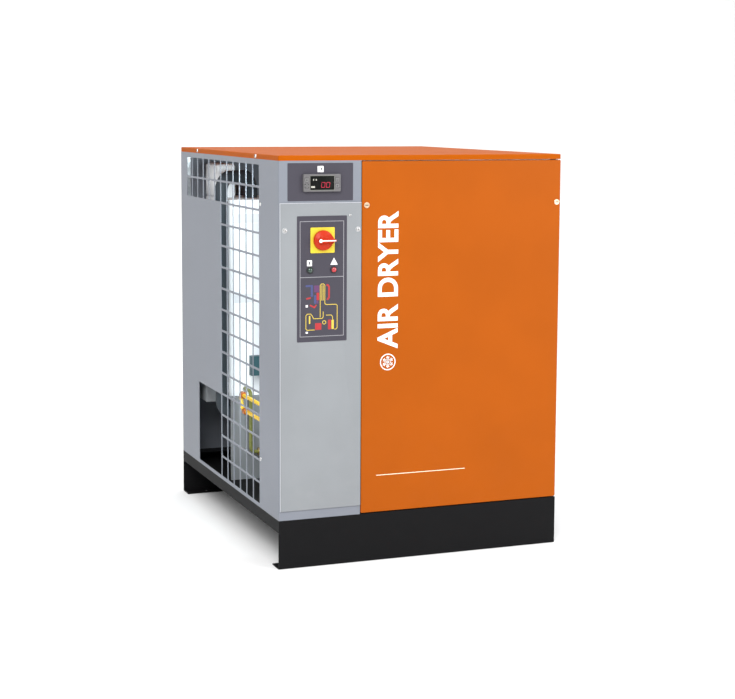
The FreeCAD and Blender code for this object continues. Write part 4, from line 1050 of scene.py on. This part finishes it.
# %% Rubber edge of the lift-off front
door_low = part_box("front_panel")[0]
seal_x = (door_low.x - CORNER.x) / MM
seal_loop = box_loop(seal_x - 1.7, 122, seal_x - 0.15, 964, 0.5)
seal = flat("front_edge_seal", [in_mm(seal_loop)], 10 * MM, at_cabinet(0, 11.5, 0), "-Y",
            edge=0.3 * MM)
settle(seal, rubber, "front_door")
print("seal beside", round(seal_x, 1), "mm")

# %% [markdown]
# ## Insulated exchanger
# The exchanger is a brazed block in two shells of moulded foam. Foil-backed tape closes the joints
# between the shells, so the block gets its tape as thin raised strips with a faint wrinkle.


# %% Tape on the insulation
def strip(name, loops, origin, away, finish, thick=0.5):
    pieces = [flat(f"{name}_{k}", [in_mm(loop)], thick * MM, origin, away, edge=0.15 * MM)
              for k, loop in enumerate(loops)]
    return settle(join(name, pieces), finish)


block_low, block_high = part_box("exchanger_insulation")
wide, deep, tall_block = ((block_high - block_low) / MM)
tape_finish = moulded("joint_tape", rgba(0.70, 0.71, 0.74), 0.35, 260, 0.0002, 0.1)


def level_strips(width):
    """The two level strips across a face of the block, near the top and half way up."""
    return [box_loop(14, tall_block - 62, width - 14, tall_block - 38, 1),
            box_loop(14, tall_block * 0.5 - 12, width - 14, tall_block * 0.5 + 12, 1)]


front_tape = level_strips(wide) + [box_loop(66, 8, 86, tall_block * 0.5 - 13, 1),
                                   box_loop(66, tall_block * 0.5 + 13, 86, tall_block - 63, 1)]
strip("front_joint_tape", front_tape, block_low, "-Y", tape_finish)
side_at = Vector((block_low.x, block_high.y, block_low.z))
side_tape = level_strips(deep)
strip("side_joint_tape", side_tape, side_at, "-X", tape_finish)
header = flat("header_sleeve", [box_loop(0, 0, 52 * MM, 130 * MM, 12 * MM)], 92 * MM,
              Vector((block_low.x, block_high.y - 130 * MM, block_high.z)), "Z", edge=8 * MM)
settle(header, insulation)
print("tape strips", len(front_tape) + len(side_tape))

# %% [markdown]
# ## Condenser
# A finned coil is hundreds of thin aluminium plates on copper tubes between two end plates. Drawn
# as a solid it looks like a slab, so every plate is built, 2.4 mm apart, with the legs and the
# end plates round them and the round ends of the tubes standing out of the end plates.


# %% Fins, end plates and tube ends
def boxes(name, corners):
    """Many plain boxes as one mesh: each is (low, high) in metres."""
    points, faces = [], []
    for low, high in corners:
        start = len(points)
        points += [(x, y, z) for x in (low[0], high[0]) for y in (low[1], high[1])
                   for z in (low[2], high[2])]
        faces += [tuple(start + i for i in face) for face in
                  ((0, 1, 3, 2), (4, 6, 7, 5), (0, 4, 5, 1), (2, 3, 7, 6), (0, 2, 6, 4),
                   (1, 5, 7, 3))]
    return from_faces(name, points, faces, 20)


coil_low, coil_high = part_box("condenser_coil")
shroud_low, shroud_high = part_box("fan_shroud")
y0, y1, z0, z1 = shroud_low.y, shroud_high.y, shroud_low.z, shroud_high.z
FIN_GAP, FIN = 2.4 * MM, 0.25 * MM
count = int((y1 - y0 - 8 * MM) / FIN_GAP)
fins = [((coil_low.x + MM, y0 + 4 * MM + k * FIN_GAP, z0 + 2 * MM),
         (coil_high.x - MM, y0 + 4 * MM + k * FIN_GAP + FIN, z1 - 2 * MM))
        for k in range(count + 1)]
fin_pack = boxes("condenser_fins", fins)
settle(fin_pack, fin_metal)
frame_boxes = [((coil_low.x, y0, z0), (coil_high.x, y0 + 2 * MM, z1)),
               ((coil_low.x, y1 - 2 * MM, z0), (coil_high.x, y1, z1)),
               ((coil_low.x, y0 + 2 * MM, z1 - 1.5 * MM), (coil_high.x, y1 - 2 * MM, z1)),
               ((coil_low.x, y0 + 2 * MM, z0), (coil_high.x, y1 - 2 * MM, z0 + 1.5 * MM))]
for y in (y0 + 10 * MM, y1 - 40 * MM):
    frame_boxes.append(((coil_low.x + 2 * MM, y, coil_low.z),
                        (coil_low.x + 5 * MM, y + 30 * MM, z0)))
coil_frame = boxes("condenser_frame", frame_boxes)
settle(coil_frame, zinc_sheet)
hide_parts("condenser_coil")
bends = []
for k in range(9):
    z = z0 + (30 + 55 * k) * MM
    for y, away in ((y0, "-Y"), (y1, "Y")):
        reach = (y0 - coil_low.y) if away == "-Y" else (coil_high.y - y1)
        for x in (coil_low.x + 18 * MM, coil_low.x + 42 * MM):
            profile = [(4.8 * MM, 0), (4.8 * MM, reach * 0.6), (3.4 * MM, reach), (0, reach)]
            bends.append(turned("tube_end", profile, (x, y, z), away, 20))
tube_ends = join("condenser_tube_ends", bends)
settle(tube_ends, copper)
print(count + 1, "fins,", len(bends), "tube ends")

# %% [markdown]
# ## Compressor and pipe fittings
# The compressor shell is two deep-drawn cups welded round the middle, and the weld stands proud as
# a bead. Flare nuts join the coated pipes; a nut is a hexagon whose corners are cut by a cone.

# %% Weld bead and flare nuts
shell_low, shell_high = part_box("compressor_shell")
shell_mid = (shell_low + shell_high) / 2
shell_radius = 112 * MM
bead = [(shell_radius - 0.5 * MM, -4 * MM), (shell_radius + 1.6 * MM, -3 * MM),
        (shell_radius + 2.4 * MM, 0), (shell_radius + 1.6 * MM, 3 * MM),
        (shell_radius - 0.5 * MM, 4 * MM)]
weld = turned("compressor_weld", bead, shell_mid, "Z", 96)
settle(weld, black_enamel)


def flare_nut(at, away, flats=17, long=18):
    """A hexagon nut round a pipe, with its corners rounded off at both ends."""
    rounds = [(flats * 0.40, 0), (flats * 0.5, 0)]
    loops = [(ring(radius * MM, 48), height) for radius, height in rounds]
    loops += [(hexagon(flats * MM), 1.2 * MM), (hexagon(flats * MM), (long - 1.2) * MM),
              (ring(flats * 0.5 * MM, 48), long * MM), (ring(flats * 0.36 * MM, 48), long * MM)]
    return loft("nut", loops, at, away, 30)


nut_spots = [(at_cabinet(66, 512, 334), "-Y"), (at_cabinet(70, 500, 292), "-Y")]
nuts = join("flare_nuts", [flare_nut(at, away) for at, away in nut_spots])
nuts.data.set_sharp_from_angle(angle=math.radians(30))
settle(nuts, orange_cap)
print("bead and", len(nut_spots), "nuts")

# %% [markdown]
# ## Back of the cabinet
# Air goes in and out through two threaded connections at the back. A thread cut in metal is seen
# as close dark rings, so each bore gets a sawtooth profile. Beside them is a plain metal plate held
# by four rivets, left blank.

# %% Threads and blank plate
for node in ("air_inlet_connector", "air_outlet_connector"):
    low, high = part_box(node)
    mouth = Vector(((low.x + high.x) / 2, high.y, (low.z + high.z) / 2))
    teeth = []
    for k in range(10):
        teeth += [(28.25, -2.3 * k - 0.2), (27.1, -2.3 * k - 1.35)]
    thread = turned(node.replace("connector", "thread"), in_mm(teeth), mouth, "Y", 72, 10)
    settle(thread, turned_steel)
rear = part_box("rear_panel")[1]
plate_at = Vector((CORNER.x + 560 * MM, rear.y, CORNER.z + 640 * MM))
blank = flat("blank_plate", [box_loop(-55 * MM, -35 * MM, 55 * MM, 35 * MM, 3 * MM)], 0.8 * MM,
             plate_at, "Y", edge=0.25 * MM)
settle(blank, turned_steel)
rivets = []
for x in (-49, 49):
    for z in (-29, 29):
        at = plate_at + Vector((x * MM, 0.8 * MM, z * MM))
        dome = [(0, 1.3), (1.2, 1.1), (2.2, 0.5), (2.4, 0)]
        rivets.append(turned("rivet", in_mm(dome), at, "Y", 20))
settle(join("plate_rivets", rivets), bright_zinc)
print("threads, plate and rivets")

# %% [markdown]
# ## Studio
# A pale floor runs back and up into the backdrop in one sweep, so no horizon shows. The light is a
# studio's: a broad soft key above and to the left of the front, a fill from the right, one from
# above, and a plain white world, turned down, that keeps the shadows open. Three small cool-white
# lights inside the cabinet show what is behind the grille. They belong to the studio, not to it.

# %% Floor, lights and world
sweep_points, sweep_faces = [], []
SWEEP = [(-8.0, 0.0), (2.0, 0.0)]
SWEEP += [(2.0 + 2.0 * math.sin(a), 2.0 - 2.0 * math.cos(a))
          for a in [math.radians(9 * k) for k in range(1, 11)]] + [(4.0, 7.0)]
for y, z in SWEEP:
    sweep_points += [(-12, y, z + LOW.z), (12, y, z + LOW.z)]
for k in range(len(SWEEP) - 1):
    sweep_faces.append((2 * k, 2 * k + 1, 2 * k + 3, 2 * k + 2))
floor = from_faces("studio_sweep", sweep_points, sweep_faces, 60)
paper = Finish("studio_paper", roughness=0.9)
paper.set(base_color=paper.blend(paper.noise(3, 3), rgba(0.83, 0.83, 0.83), rgba(0.85, 0.85, 0.85)))
floor.data.materials.append(paper.material)


def softbox(name, place, target, size, power):
    """A square area light aimed at a point; the small ones are a cool white."""
    lamp = bpy.data.lights.new(name, "AREA")
    lamp.shape, lamp.size, lamp.energy = "SQUARE", size, power
    lamp.color = (0.82, 0.96, 1.0) if size < 1 else (1, 1, 1)
    holder = bpy.data.objects.new(name, lamp)
    bpy.context.scene.collection.objects.link(holder)
    holder.location = place
    holder.visible_camera = False
    holder.rotation_euler = (Vector(target) - Vector(place)).to_track_quat("-Z", "Y").to_euler()


softbox("key_light", (-2.4, -3.6, 3.4), (0, 0, 0.5), 2.4, 225)
softbox("fill_light", (3.2, -3.6, 2.0), (0, 0, 0.5), 2.6, 135)
softbox("top_light", (0.3, 0.2, 4.2), (0, 0, 0.5), 2.8, 90)
softbox("bay_light", at_cabinet(86, 171, 930), at_cabinet(66, 631, 500), 0.10, 1.9)
softbox("low_bay_light", at_cabinet(120, 175, 400), at_cabinet(110, 874, 200), 0.08, 0.9)
softbox("rear_bay_light", at_cabinet(30, 850, 600), at_cabinet(60, 850, 150), 0.04, 0.25)
world = bpy.data.worlds.new("studio_air")
world.use_nodes = True
world.node_tree.nodes["Background"].inputs[0].default_value = (1, 1, 1, 1)
world.node_tree.nodes["Background"].inputs[1].default_value = 0.70
bpy.context.scene.world = world
bpy.context.scene.view_settings.view_transform = "Standard"
print("three softboxes and three small lights")

# %% [markdown]
# ## Camera
# The camera stands a little above the lid, to the left of the front, with a short telephoto lens
# so that upright edges stay nearly upright.

# %% Camera
lens_data = bpy.data.cameras.new("camera")
LENS, SENSOR = 80.47, 36
PITCH, ROLL, YAW = 90 - 6.59, -0.29, -21.22
lens_data.lens, lens_data.sensor_width = LENS, SENSOR
lens_data.shift_y = -0.067
lens_data.clip_end = 100
camera = bpy.data.objects.new("camera", lens_data)
bpy.context.scene.collection.objects.link(camera)
camera.location = at_cabinet(-1184, -3615, 1084)
camera.rotation_euler = [math.radians(angle) for angle in (PITCH, ROLL, YAW)]
bpy.context.scene.camera = camera
print("camera at", [round(c, 2) for c in camera.location])
